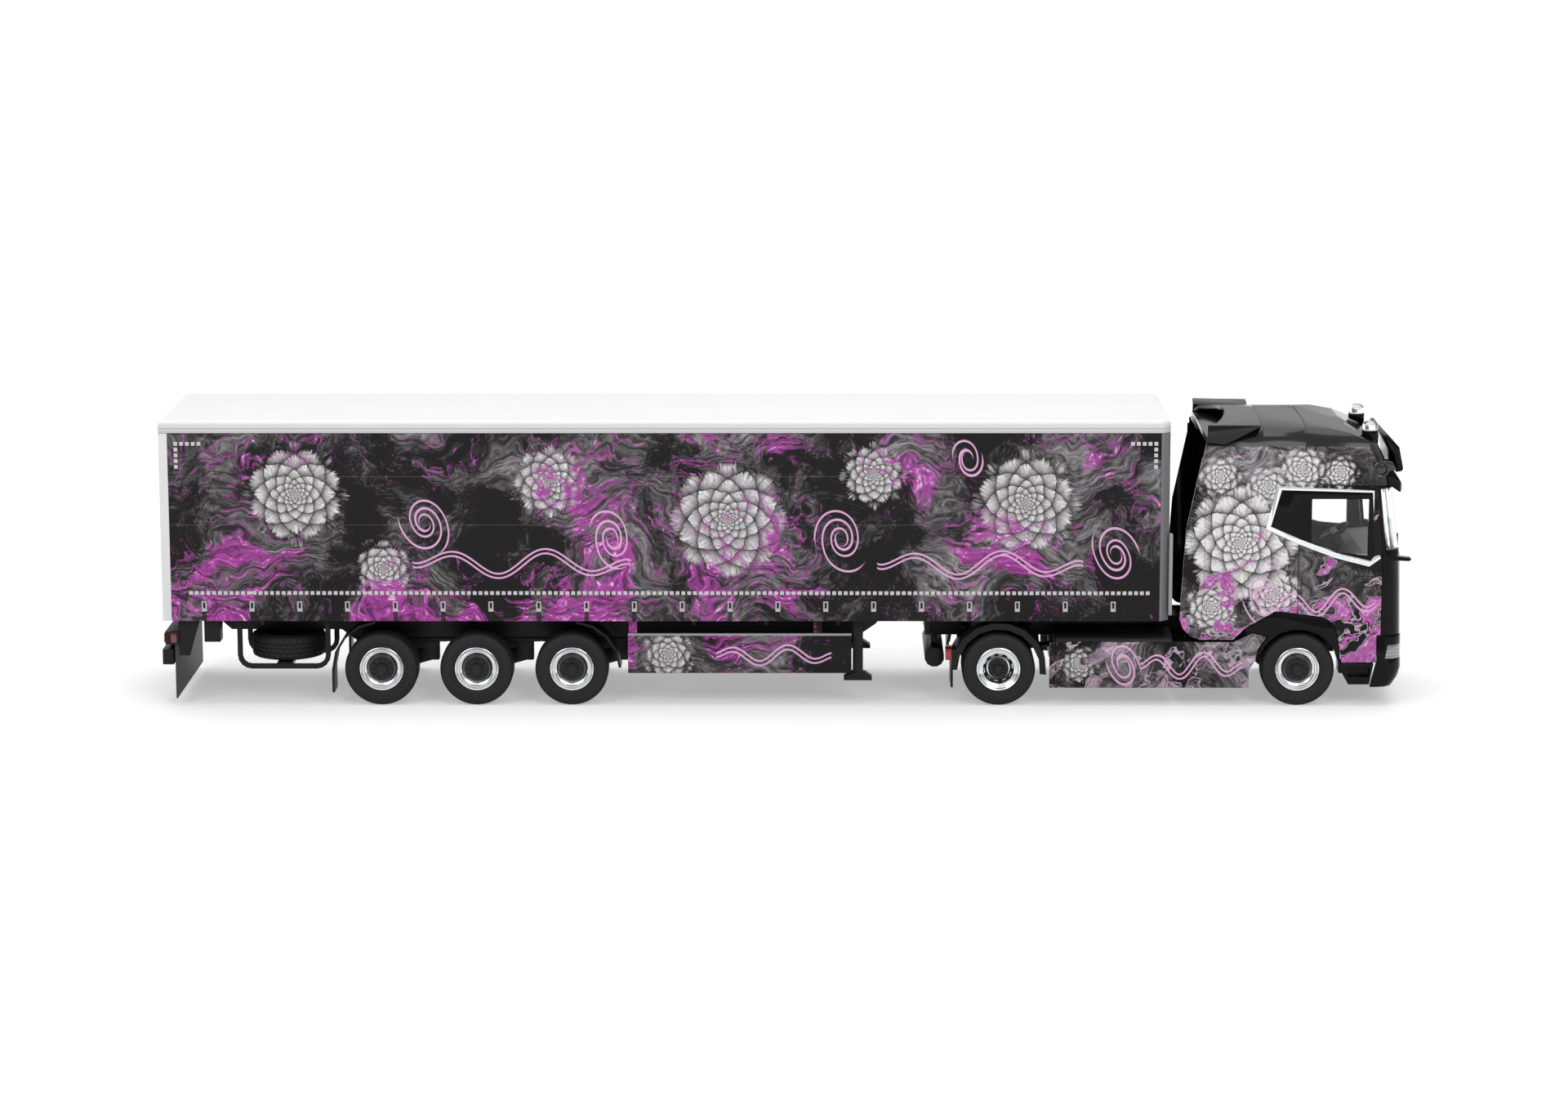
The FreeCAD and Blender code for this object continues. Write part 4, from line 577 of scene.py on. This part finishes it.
def curl_group():
    """A printed double line that winds out from a centre: where it covers."""
    nodes, start, x, z = print_group("printed_curl", ["Radius", "Wind", "Start", "Squeeze"], ["Area"])
    radius, turn = round_centre(nodes, x, z)
    wave = nodes.add("SINE", nodes.add("MULTIPLY", nodes.add("ADD", turn, 0.08), 4 * math.pi))
    bent = nodes.add("MULTIPLY", radius, nodes.add("MULTIPLY_ADD", wave, start["Squeeze"], 1.0))
    ring = nodes.add("MULTIPLY", nodes.add("LOGARITHM", nodes.add("ADD", bent, 0.2), math.e), 1.05)
    wound = nodes.add("ADD", nodes.add("MULTIPLY_ADD", turn, start["Wind"], ring), start["Start"])
    wound = nodes.add("SUBTRACT", nodes.add("FRACT", wound), 0.5)
    off = nodes.add("MULTIPLY", nodes.add("ABSOLUTE", wound), nodes.add("DIVIDE", bent, 1.05))
    gap = nodes.add("range", bent, 0.0, start["Radius"], 0.15, 0.75)
    line = nodes.add("range", nodes.add("ABSOLUTE", nodes.add("SUBTRACT", off, gap)), 0.1, 0.17, 1.0, 0.0)
    inside = nodes.add("range", nodes.add("SUBTRACT", start["Radius"], bent), 0.0, 0.1)
    area = nodes.add("MULTIPLY", nodes.add("MULTIPLY", line, inside), nodes.add("range", bent, 0.9, 1.0))
    nodes.add("NodeGroupOutput", area)
    return nodes.tree


def stem_group():
    """A printed double line that runs along in a low wave, like a stem: where it covers."""
    nodes, start, x, z = print_group("printed_stem", ["Length", "Height", "Pitch"], ["Area"])
    share = nodes.add("DIVIDE", x, start["Length"])
    rise = nodes.add("SUBTRACT", 1.0, nodes.add("MULTIPLY", share, share))
    height = nodes.add("MULTIPLY", nodes.add("SQRT", nodes.add("MAXIMUM", rise, 0.0)), start["Height"])
    phase = nodes.add("MULTIPLY", nodes.add("DIVIDE", x, start["Pitch"]), 2 * math.pi)
    off = nodes.add("SUBTRACT", z, nodes.add("MULTIPLY", height, nodes.add("SINE", phase)))
    steep = nodes.add("MULTIPLY", height, nodes.add("COSINE", phase))
    steep = nodes.add("DIVIDE", nodes.add("MULTIPLY", steep, 2 * math.pi), start["Pitch"])
    near = nodes.add("DIVIDE", nodes.add("ABSOLUTE", off),
                     nodes.add("SQRT", nodes.add("MULTIPLY_ADD", steep, steep, 1.0)))
    line = nodes.add("range", nodes.add("ABSOLUTE", nodes.add("SUBTRACT", near, 0.34)), 0.1, 0.17, 1.0, 0.0)
    ends = nodes.add("range", nodes.add("SUBTRACT", start["Length"], nodes.add("ABSOLUTE", x)), 0.0, 0.1)
    nodes.add("NodeGroupOutput", nodes.add("MULTIPLY", line, ends))
    return nodes.tree


blossom = blossom_group()
curl = curl_group()
stem = stem_group()
pale_pink = "eeb6e0"


class Print(Nodes):
    """The nodes of one printed side: its place in millimetres, and noises that every layer shares."""

    def __init__(self, tree, seed):
        super().__init__(tree)
        self.seed = seed
        self.flat = object_mm(self, (1000.0, 0.0, 1000.0), (middle, seed, 0.0))
        place = self.add("ShaderNodeSeparateXYZ", self.flat)
        self.x = place.outputs[0]
        self.z = place.outputs[2]
        self.bent = self.pushed(self.flat, 0.07, 3.0, 26.0)
        self.rough = self.pushed(self.flat, 0.6, 3.0, 0.9)
        self.fine = self.add("noise", self.bent, 1.6, 4.0, 0.65)
        drawn = self.add("ShaderNodeVectorMath", self.bent, (0.32, 1.0, 2.6), operation="MULTIPLY")
        self.hair = self.add("range", self.add("noise", drawn, 0.55, 5.0, 0.68), 0.4, 0.62)

    def pushed(self, vector, scale, detail, reach):
        """The same places pushed aside by a noise, up to about half the reach."""
        push = self.add("noise", vector, scale, detail).outputs[1]
        push = self.add("ShaderNodeVectorMath", push, (0.5, 0.5, 0.5), operation="SUBTRACT")
        push = self.add("ShaderNodeVectorMath", push, reach, operation="SCALE")
        return self.add("ShaderNodeVectorMath", vector, push, operation="ADD")

    def stamp(self, group, vector, x, z, *numbers):
        """One copy of a printed group at a station and height, with its numbers: what comes out."""
        return self.add("ShaderNodeGroup", vector, (x, self.seed, z), *numbers, node_tree=group).outputs


def smoke(amount):
    """Soft grey smoke with fine drawn strokes in it."""
    def layer(p, colour):
        cloud = p.add("noise", p.bent, 0.05, 5.0, 0.6)
        haze = p.add("range", cloud, 0.52 - 0.08 * amount, 0.8)
        stroke = p.add("range", p.add("MULTIPLY_ADD", p.fine, 0.25, cloud), 0.66 - 0.1 * amount, 0.84)
        colour = p.add("mix", p.add("MULTIPLY", haze, 0.35), colour, srgb("8a8488"))
        stroke = p.add("MULTIPLY", p.add("MULTIPLY", stroke, p.hair), 0.75)
        return p.add("mix", stroke, colour, srgb("dcd6da"))
    return layer


def blossoms(*places, lift=1.0):
    """Pale blossoms, each with its station, height and radius, printed darker or paler."""
    def layer(p, colour):
        for x, z, radius in places:
            petals = 8.0 if radius > 4 else 6.0
            flower = p.stamp(blossom, p.rough, x, z, radius, petals)
            shade = p.add("MULTIPLY", flower["Tone"], p.add("range", p.fine, 0.3, 0.7, lift, 1.6 * lift))
            colour = p.add("mix", flower["Area"], colour, p.add("mix", shade, srgb("1d1a1d"), srgb("f7f3f5")))
        return colour
    return layer


def wisps(low, high):
    """Magenta wisps and thin branching veins, thicker towards the foot, with nearly white hearts."""
    def layer(p, colour):
        patch = p.add("noise", p.flat, 0.05, 1.0)
        width = p.add("ADD", p.add("range", p.z, low, high, 0.05, -0.01),
                      p.add("range", patch, 0.42, 0.6, -0.06, 0.05))
        ridge = p.add("ABSOLUTE", p.add("SUBTRACT", p.add("noise", p.bent, 0.06, 3.0), 0.5))
        torn = p.add("MULTIPLY", p.add("SUBTRACT", 0.55, p.hair), 0.06)
        wisp = p.add("range", p.add("SUBTRACT", width, p.add("ADD", ridge, torn)), -0.01, 0.035)
        vein = p.add("ABSOLUTE", p.add("SUBTRACT", p.add("noise", p.bent, 0.1, 5.0, 0.6), 0.5))
        reach = p.add("range", patch, 0.36, 0.56, 0.0, 0.02)
        vein = p.add("range", p.add("SUBTRACT", reach, vein), 0.0, 0.007)
        vein = p.add("MULTIPLY", vein, p.add("range", p.fine, 0.35, 0.6))
        wisp = p.add("MAXIMUM", wisp, p.add("MULTIPLY", vein, 0.9))
        bright = p.add("MULTIPLY", p.hair, p.add("range", p.fine, 0.35, 0.65, 0.35, 1.0))
        pink = p.add("mix", bright, srgb("8a2d80"), srgb("d965cd"))
        pink = p.add("mix", p.add("range", p.add("MULTIPLY", bright, wisp), 0.62, 0.95), pink, srgb("f6dcf2"))
        return p.add("mix", p.add("MULTIPLY", wisp, p.add("range", bright, 0.0, 0.3, 0.5, 1.0)), colour, pink)
    return layer


def curls(*places):
    """Pink double lines that wind out, each with its station, height, radius, way, start and squeeze."""
    def layer(p, colour):
        for x, z, radius, wind, start, squeeze in places:
            line = p.stamp(curl, p.flat, x, z, radius, wind, start, squeeze)
            colour = p.add("mix", line["Area"], colour, srgb(pale_pink))
        return colour
    return layer


def stems(*places):
    """Pink double lines in a low wave, each with its station, height, half length, rise and pitch."""
    def layer(p, colour):
        for x, z, length, height, pitch in places:
            line = p.stamp(stem, p.flat, x, z, length, height, pitch)
            colour = p.add("mix", line["Area"], colour, srgb(pale_pink))
        return colour
    return layer


def repeated(nodes, value, start, pitch):
    """How far a place lies past the last mark of a row."""
    pitches = nodes.add("DIVIDE", nodes.add("SUBTRACT", value, start), pitch)
    return nodes.add("MULTIPLY", nodes.add("FRACT", pitches), pitch)


def curtain_marks(p, colour):
    """Slat lines, straps and buckles, a row of contour squares along the foot, and a bracket of
    squares in both upper corners."""
    first_strap = 6.5
    strap_pitch = 7.43
    buckle_width = 0.76
    square_pitch = 0.9
    square = 0.58
    for slat in (28.6, 36.2):
        line = p.add("MULTIPLY", within(p, p.z, slat, slat + 0.1), 0.12)
        colour = p.add("mix", line, colour, srgb("b9b4b8"))
    along = repeated(p, p.x, first_strap - buckle_width / 2, strap_pitch)
    strap = p.add("MULTIPLY", within(p, along, 0.04, 0.72), within(p, p.z, 13.5, 15.05))
    colour = p.add("mix", p.add("MULTIPLY", strap, 0.8), colour, srgb("201d20"))
    buckle = p.add("MULTIPLY", within(p, along, 0.0, buckle_width), within(p, p.z, 15.0, 16.6))
    buckle = p.add("MULTIPLY", buckle, within(p, p.x, 5.0, 150.0))
    hole = p.add("MULTIPLY", within(p, along, 0.19, 0.57), within(p, p.z, 15.5, 16.42))
    colour = p.add("mix", buckle, colour, srgb("c9c6c8"))
    colour = p.add("mix", p.add("MULTIPLY", buckle, hole), colour, srgb("2a272a"))

    def row(place, start, first, last, crosswise, edge):
        """A row of squares counted from a start, between two places, with one edge on a line."""
        dots = p.add("LESS_THAN", repeated(p, place, start, square_pitch), square)
        dots = p.add("MULTIPLY", dots, within(p, place, first, last))
        return p.add("MULTIPLY", dots, within(p, crosswise, edge, edge + square))
    squares = row(p.x, 4.2, 4.2, 153.5, p.z, 17.65)
    for start, stop, post in ((2.4, 6.7, 2.4), (150.1, 154.4, 153.7)):
        top = row(p.x, start, start, stop, p.z, 41.1)
        down = row(p.z, 41.1, 37.5, 41.6, p.x, post)
        squares = p.add("MAXIMUM", squares, p.add("MAXIMUM", top, down))
    return p.add("mix", squares, colour, srgb("d8d5d6"))


def printed(name, layers, seed=0.0, gloss=0.3, shine=0.16, outside=0.0):
    """Black plastic with printed layers laid one over the other, on what lies outside a half width.
    The plastic's own grain is too fine to show, so it is drawn about 0.15 mm coarse."""
    material = bpy.data.materials.new(name)
    material.use_nodes = True
    p = Print(material.node_tree, seed)
    colour = p.add("mix", p.add("noise", p.flat, 0.5, 3.0), srgb("121011"), srgb("1a1719"))
    bare = colour
    for layer in layers:
        colour = layer(p, colour)
    spots = object_mm(p)
    if outside:
        wide = p.add("ABSOLUTE", p.add("ShaderNodeSeparateXYZ", spots).outputs[1])
        colour = p.add("mix", p.add("range", wide, outside - 0.1, outside), bare, colour)
    grain = p.add("noise", spots, 7.0, 2.0)
    relief = p.add("ShaderNodeBump")
    p.fill(relief, {"Height": grain, "Strength": 0.2, "Distance": 0.01 * mm})
    p.fill(material.node_tree.nodes["Principled BSDF"], {
        "Base Color": colour, "Normal": relief, "Specular IOR Level": shine,
        "Roughness": p.add("range", grain, 0.0, 1.0, gloss - 0.05, gloss + 0.07)})
    return material


# Printed black plastic: dark and rich in colour, with a satin varnish that mirrors nothing sharply.
curtain_print = printed("curtain_print", [
    smoke(0.95),
    blossoms((21.0, 33.5, 7.0), (34.5, 21.8, 3.8), (60.5, 35.5, 5.2), (88.0, 29.5, 8.5), (110.5, 36.5, 4.4),
             (134.0, 32.0, 7.4)),
    wisps(14.0, 34.0),
    curls((41.0, 29.0, 4.6, 1.0, 0.2, 0.15), (70.0, 26.5, 4.0, -1.0, 0.6, 0.2),
          (105.5, 26.5, 4.8, -1.0, 0.5, 0.15), (125.0, 39.0, 2.8, -1.0, 0.1, 0.2),
          (148.0, 24.0, 4.4, 1.0, 0.7, 0.2)),
    stems((56.0, 22.6, 17.0, 2.0, 15.0), (127.0, 22.4, 16.0, 1.9, 14.0)),
    curtain_marks])
guard_print = printed("guard_print", [smoke(1.3), blossoms((78.6, 8.0, 3.4)), wisps(16.0, 30.0),
                                      stems((95.0, 8.0, 9.0, 1.3, 9.0))], 64.0)
dressed("trailer_curtains", "trailer", curtain_print, 0.0)
dressed("side_guards", "trailer", guard_print, 0.06)
rails = [bar("guard_rail", spot(72.3, side * 13.95 - 0.26, 11.08), spot(107.1, side * 13.95 + 0.26, 11.42),
             0.08, (0, side, 0), 0.04) for side in (-1, 1)]
finish(joined("guard_rails", rails), "trailer", pale_strip)


# Lamps at the back: glossy red blocks of moulded plastic, pressed into the trailer's rear beam and
# onto brackets behind the tractor's mudguards. An amber field, and on the trailer a clear one too,
# lie inside the red.
def lens_fields(nodes, place, colour):
    """An amber field and a clear one inside the red, parted by fine dark lines."""
    wide = nodes.add("ABSOLUTE", place[1])
    colour = nodes.add("mix", nodes.add("LESS_THAN", wide, 11.9), colour, srgb("c9741a"))
    colour = nodes.add("mix", nodes.add("LESS_THAN", wide, 10.6), colour, srgb("cfcfd0"))
    ribs = nodes.add("LESS_THAN", repeated(nodes, wide, 0.0, 0.42), 0.09)
    return nodes.add("mix", nodes.add("MULTIPLY", ribs, 0.45), colour, srgb("3a0a0a"))


# Moulded lens plastic: a wet, glassy red over fine ribs.
red_lens = moulded("red_lens", "8e1212", "a81a1a", 0.18, 6.0, 0.01, coat=0.7, printing=lens_fields)
dressed("rear_lamps", "trailer", red_lens, 0.04)
dressed("tail_lamps", "tractor", red_lens, 0.08)

# Tractor chassis: rails, tanks, axle carriers, mudguards and the fifth wheel, moulded in the same
# satin black plastic as the trailer's and pressed together under the cab.
for node, edge in (("axle_carriers", 0.05), ("drivetrain", 0.08), ("fifth_wheel", 0.05),
                   ("fuel_tanks", 0.08), ("rear_mudguards", 0.08), ("tractor_frame", 0.05)):
    dressed(node, "tractor", satin_black, edge)


# Side skirts: glossy black plastic panels clipped on between the tractor's wheels. Like the doors and
# the sleeper's sides they are printed with smoke, blossoms, pink swashes and flakes with pale torn
# outlines, which are grey here and magenta on the cab.
def flakes(low, high, fills):
    """Torn flakes of two colours with pale outlines, thicker towards the foot."""
    def layer(p, colour):
        drawn = p.add("ShaderNodeVectorRotate", p.pushed(p.flat, 0.25, 2.0, 5.0), (0.0, 0.0, 0.0), 0.6,
                      rotation_type="Y_AXIS")
        drawn = p.add("ShaderNodeVectorMath", drawn, (0.35, 1.0, 1.0), operation="MULTIPLY")
        torn = p.add("noise", drawn, 0.4, 2.0, 0.4)
        rise = p.add("range", p.z, low, high, 0.12, -0.1)
        broken = p.add("MULTIPLY", p.add("SUBTRACT", p.hair, 0.5), 0.03)
        level = p.add("ADD", p.add("ADD", torn, rise), broken)
        patch = p.add("range", p.add("noise", p.flat, 0.16, 3.0), 0.46, 0.54)
        fill = p.add("mix", patch, srgb(fills[0]), srgb(fills[1]))
        fill = p.add("mix", p.add("range", p.fine, 0.4, 0.7, 0.0, 0.35), fill, srgb("efd3ea"))
        outline = within(p, level, 0.56, 0.585)
        inner = p.add("range", level, 0.6, 0.61)
        second = within(p, level, 0.66, 0.672)
        colour = p.add("mix", p.add("MULTIPLY", outline, 0.85), colour, srgb("cdb6c7"))
        colour = p.add("mix", inner, colour, fill)
        return p.add("mix", p.add("MULTIPLY", second, 0.8), colour, srgb("e6d2e2"))
    return layer


# Printed plastic: a gloss between the curtains' satin and the cab's, so the sky shows only softly.
skirt_print = printed("skirt_print", [
    smoke(0.8), blossoms((142.5, 6.5, 2.4)), flakes(-2.0, 16.0, ("1d1a1d", "a58fa2")),
    curls((149.4, 6.4, 3.2, 1.0, 0.5, 0.25)), stems((160.0, 6.4, 8.0, 1.8, 7.6))], 80.0, 0.2)
dressed("side_skirts", "tractor", skirt_print, 0.08)

# Inside the cab: seats, bunk, dashboard and steering wheel, moulded in one matte grey plastic piece
# and a darker wheel pressed onto it. They are seen through the door glass.
# Both plastics are dull. The light grey reads mid-grey in the cab's shade, and the dark one nearly black.
matte_grey = moulded("matte_grey_plastic", "b4b3b5", "c2c1c3", 0.6, 6.0, 0.03, shine=0.3)
dark_grey = moulded("dark_grey_plastic", "3a3a3c", "464648", 0.5, 6.0, 0.02, shine=0.3)
dressed("cab_interior", "tractor", matte_grey, 0.15)
dressed("steering_wheel", "tractor", dark_grey, 0.03)

# Cab shell: front, doors, sleeper, roof, spoiler, bumper and fenders, moulded in glossy black
# plastic, printed on the sides and clipped together along fine seams.
cab_layers = [
    smoke(0.9),
    blossoms((164.0, 36.2, 2.8), (171.2, 34.6, 3.0), (176.6, 37.4, 3.2), (182.4, 36.8, 2.2),
             (163.0, 15.6, 3.6), (172.6, 17.6, 4.0), (167.4, 25.8, 8.4), lift=1.35),
    flakes(9.0, 25.0, ("c050b2", "b347a6")),
    curls((171.0, 16.6, 4.0, 1.0, 0.3, 0.25)), stems((181.2, 16.4, 7.2, 1.9, 8.4))]
shell_side = 14.0
# Glossy plastic: black and clean with small crisp highlights. The print keeps that gloss, and the
# roof mirrors more of the room than the upright faces do, so both finishes come twice. The roof's
# plain black copy is also painted a shade paler, as painted sheen from the room above.
cab_print = printed("cab_print", cab_layers, 40.0, 0.14, 0.14, shell_side)
roof_print = printed("roof_print", cab_layers, 40.0, 0.12, 0.34, shell_side)
gloss_black = moulded("gloss_black_plastic", "070708", "0c0c0d", 0.12, 3.0, 0.004, shine=0.14)
gloss_roof = moulded("gloss_roof_plastic", "0a0a0b", "0f0f10", 0.12, 3.0, 0.004, shine=0.34)


def flush_wings(obj):
    """Lowers the edges of the spoiler's wings onto the roof, so that one slope runs across. Each row
    gives two stations, two widths, and how far the points between them move inwards and down."""
    wing_top = 44.0
    for side in (-1, 1):
        for back, front, low, high, inward, drop in (
                (161.0, 166.0, 12.0, 12.4, 0.0, 0.68), (166.0, 171.0, 12.0, 12.4, 1.6, 0.56),
                (170.0, math.inf, 14.2, math.inf, 0.4, 0.2)):
            pick(obj, "VERT", lambda v: back < v.co.x / mm + middle < front
                 and low < side * (v.co.y / mm) < high and v.co.z / mm > wing_top)
            bpy.ops.transform.translate(value=(0, -side * inward * mm, -drop * mm))
            bpy.ops.object.mode_set(mode="OBJECT")


dressed("roof_spoiler", "tractor", gloss_roof, 0.12, shaping=flush_wings)
for node, material, edge in (("cab_front", gloss_black, 0.08), ("cab_doors", cab_print, 0.05),
                             ("cab_rear", cab_print, 0.06), ("cab_roof", roof_print, 0.06),
                             ("bumper", gloss_black, 0.1), ("front_fenders", gloss_black, 0.12),
                             ("side_deflectors", cab_print, 0.08),
                             ("window_surrounds", gloss_black, 0.03), ("sun_visor", gloss_black, 0.1),
                             ("light_box", gloss_black, 0.12)):
    dressed(node, "tractor", material, edge)


# Back wall of the cab: a matte black panel with pressed ribs, glued on between the two deflectors.
# It closes the shell, and its dead black is painted shade that keeps the gap to the trailer dark.
panel_low = 12.4
panel_high = 41.3
rib_rows = 27
# Moulded plastic without any gloss: plain black with no highlight. On the back wall it is painted
# shade, so the gap stays dark; on the wipers it is their own matte black.
matte_black_and_gap_shade = moulded("matte_black_plastic", "060607", "0b0b0c", 0.85, 8.0, 0.03, shine=0.0)


def upright_grid(name, station, low, high, columns, rows):
    """A flat grid that looks forward, between two (width, height) corners."""
    centre = spot(station, (low[0] + high[0]) / 2, (low[1] + high[1]) / 2)
    bpy.ops.mesh.primitive_grid_add(x_subdivisions=rows, y_subdivisions=columns, size=mm, location=centre,
                                    rotation=(0, math.pi / 2, 0))
    obj = placed(name)
    bpy.ops.object.mode_set(mode="EDIT")
    bpy.ops.mesh.select_all(action="SELECT")
    bpy.ops.transform.resize(value=(1.0, high[0] - low[0], high[1] - low[1]), center_override=centre)
    bpy.ops.object.mode_set(mode="OBJECT")
    return obj


panel = upright_grid("cab_back_panel", 161.5, (-13.5, panel_low), (13.5, panel_high), 8, rib_rows)
ribs_from = min(f.center.z for f in panel.data.polygons)
rib_pitch = (panel_high - panel_low) * mm / rib_rows
pick(panel, "FACE", lambda f: int((f.center.z - ribs_from) / rib_pitch + 0.5) % 3 == 1)
bpy.ops.mesh.extrude_region_move(TRANSFORM_OT_translate={"value": (-0.3 * mm, 0, 0)})
bpy.ops.mesh.select_all(action="SELECT")
bpy.ops.mesh.normals_make_consistent(inside=False)
bpy.ops.object.mode_set(mode="OBJECT")
shaped(panel, "SOLIDIFY", thickness=0.12 * mm)
finish(panel, "tractor", matte_black_and_gap_shade)


# Front fittings: dark grey mesh plates pressed into the grille's slots and behind the bumper's
# opening, and two matte black wipers at the foot of the windscreen, each a blade on a flat arm.
def mesh_plate(name, station, low, high, columns, rows, onto=None, lift=0.05, depth=0.06, thickness=0.08):
    """A thin plate with rows of pressed hollows, flat or laid onto the front of another part."""
    obj = upright_grid(name, station, low, high, columns, rows)
    if onto:
        shaped(obj, "SHRINKWRAP", target=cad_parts[onto], wrap_method="PROJECT", use_project_x=True,
               use_positive_direction=False, use_negative_direction=True, offset=lift * mm)
    bpy.ops.object.mode_set(mode="EDIT")
    bpy.ops.mesh.select_all(action="SELECT")
    bpy.ops.mesh.inset(use_individual=True, thickness=0.05 * mm, depth=-depth * mm)
    bpy.ops.object.mode_set(mode="OBJECT")
    shaped(obj, "SOLIDIFY", thickness=thickness * mm, offset=1.0)
    return obj


slot_pitch = 2.3
plates = [mesh_plate("grille_mesh", 194.5, (-9.0, 12.5 + slot_pitch * n), (9.0, 13.4 + slot_pitch * n), 56, 3,
                     "cab_front") for n in range(4)]
plates.append(mesh_plate("bumper_mesh", 191.4, (-7.6, 5.0), (7.6, 7.0), 44, 6))
finish(joined("front_meshes", plates), "tractor", dark_grey)
wipers = []
for side in (-1, 1):
    low, high = sorted((side * 1.0, side * 8.2))
    wipers.append(mesh_plate("wiper_blade", 194.5, (low, 25.1), (high, 25.45), 16, 1, "windscreen",
                             0.1, 0.04, 0.14))
    wipers.append(bar("wiper_arm", spot(192.72, side * 4.0 - 0.16, 22.9),
                      spot(193.0, side * 4.0 + 0.16, 25.5), 0.05, (1, 0, 0), 0.03))
finish(joined("wipers", wipers), "tractor", matte_black_and_gap_shade)


# Windows: clear moulded plastic pressed into the shell from inside, with a printed silver band
# round the side ones.
def clear_plastic(name, tint, roughness, weight=1.0):
    """Clear moulded plastic with faint flow marks about a millimetre wide."""
    material = bpy.data.materials.new(name)
    material.use_nodes = True
    nodes = Nodes(material.node_tree)
    flow = nodes.add("noise", object_mm(nodes), 0.8, 3.0)
    nodes.fill(material.node_tree.nodes["Principled BSDF"], {
        "Base Color": nodes.add("mix", flow, srgb(tint), (1, 1, 1, 1)),
        "Roughness": nodes.add("range", flow, 0.0, 1.0, roughness, roughness + 0.04),
        "Transmission Weight": weight, "IOR": 1.3})
    return material


# Clear styrene: hardly tinted, so that the seats and the wheel show, with a faint wavy reflection.
window_clear = clear_plastic("clear_window", "eceeef", 0.02)
dressed("side_windows", "tractor", window_clear, 0.0)
dressed("windscreen", "tractor", window_clear, 0.0)
# Foil-printed silver: a thin bright line, a little less mirror-like than the rims.
trim_silver = moulded("printed_silver", "dcdde0", "eeeff1", 0.16, 5.0, 0.005, metallic=0.9)
dressed("window_trims", "tractor", trim_silver, 0.03)


# Lamps: ribbed clear lenses over bright bowls in the bumper and on the roof's corners, a smoked
# marker pod on each side of the roof, and two clear beacons on black feet, each with a bright bulb.
def lens_ribs(nodes, place, colour):
    """Fine dark ribs across the lenses, and a smoked tone on the pair at the roof."""
    ribs = nodes.add("LESS_THAN", repeated(nodes, place[2], 0.0, 0.52), 0.12)
    colour = nodes.add("mix", nodes.add("MULTIPLY", ribs, 0.55), colour, srgb("3c3c3f"))
    return nodes.add("mix", nodes.add("GREATER_THAN", place[2], 30.0), colour, srgb("2b2b2d"))


# Ribbed lens plastic: a cool grey glint from the bowl behind it, parted by the ribs.
lamp_lens = moulded("ribbed_lens", "8b8d90", "a7a9ac", 0.14, 3.0, 0.01, coat=0.5, metallic=0.3,
                    printing=lens_ribs)
dressed("front_lamps", "tractor", lamp_lens, 0.06)
dressed("beacon_bases", "tractor", gloss_black, 0.06)
pods = [turned("marker_pod", [(r, side * y) for r, y in (
    (0.01, 14.22), (0.45, 14.2), (0.82, 14.08), (0.86, 14.0), (0.94, 14.28), (1.1, 14.34), (1.26, 14.24),
    (1.3, 13.4), (0.01, 13.4))], 188.75, 37.35, 40) for side in (-1, 1)]
# Smoked lens plastic: nearly black, with one small sharp highlight.
smoked = moulded("smoked_lens", "1a1a1c", "29292b", 0.1, 4.0, 0.004, coat=0.4, shine=0.4)
finish(joined("marker_pods", pods), "tractor", smoked, angle=30.0)
# Clear lamp plastic: bright and watery, with the bulb showing through.
lamp_clear = clear_plastic("clear_lamp", "f4f5f6", 0.03, 0.95)
dressed("beacon_domes", "tractor", lamp_clear, 0.06)


def bulb(name, x, y, z):
    """A small bright bulb with a stepped collar, turned upright."""
    bpy.ops.mesh.primitive_cylinder_add(vertices=24, radius=0.62 * mm, depth=0.2 * mm,
                                        location=spot(x, y, z + 0.1))
    obj = placed(name)
    for inset, rise in ((0.2, 0.0), (0.001, 0.45), (0.1, 0.12)):
        top = max(v.co.z for v in obj.data.vertices)
        press(obj, lambda f: f.normal.z > 0.9 and f.center.z > top - 1e-6, inset, rise)
    return obj


bulbs = [bulb("beacon_bulb", 187.6, side * 8.7, 42.72) for side in (-1, 1)]
finish(joined("beacon_bulbs", bulbs), "tractor", plated)
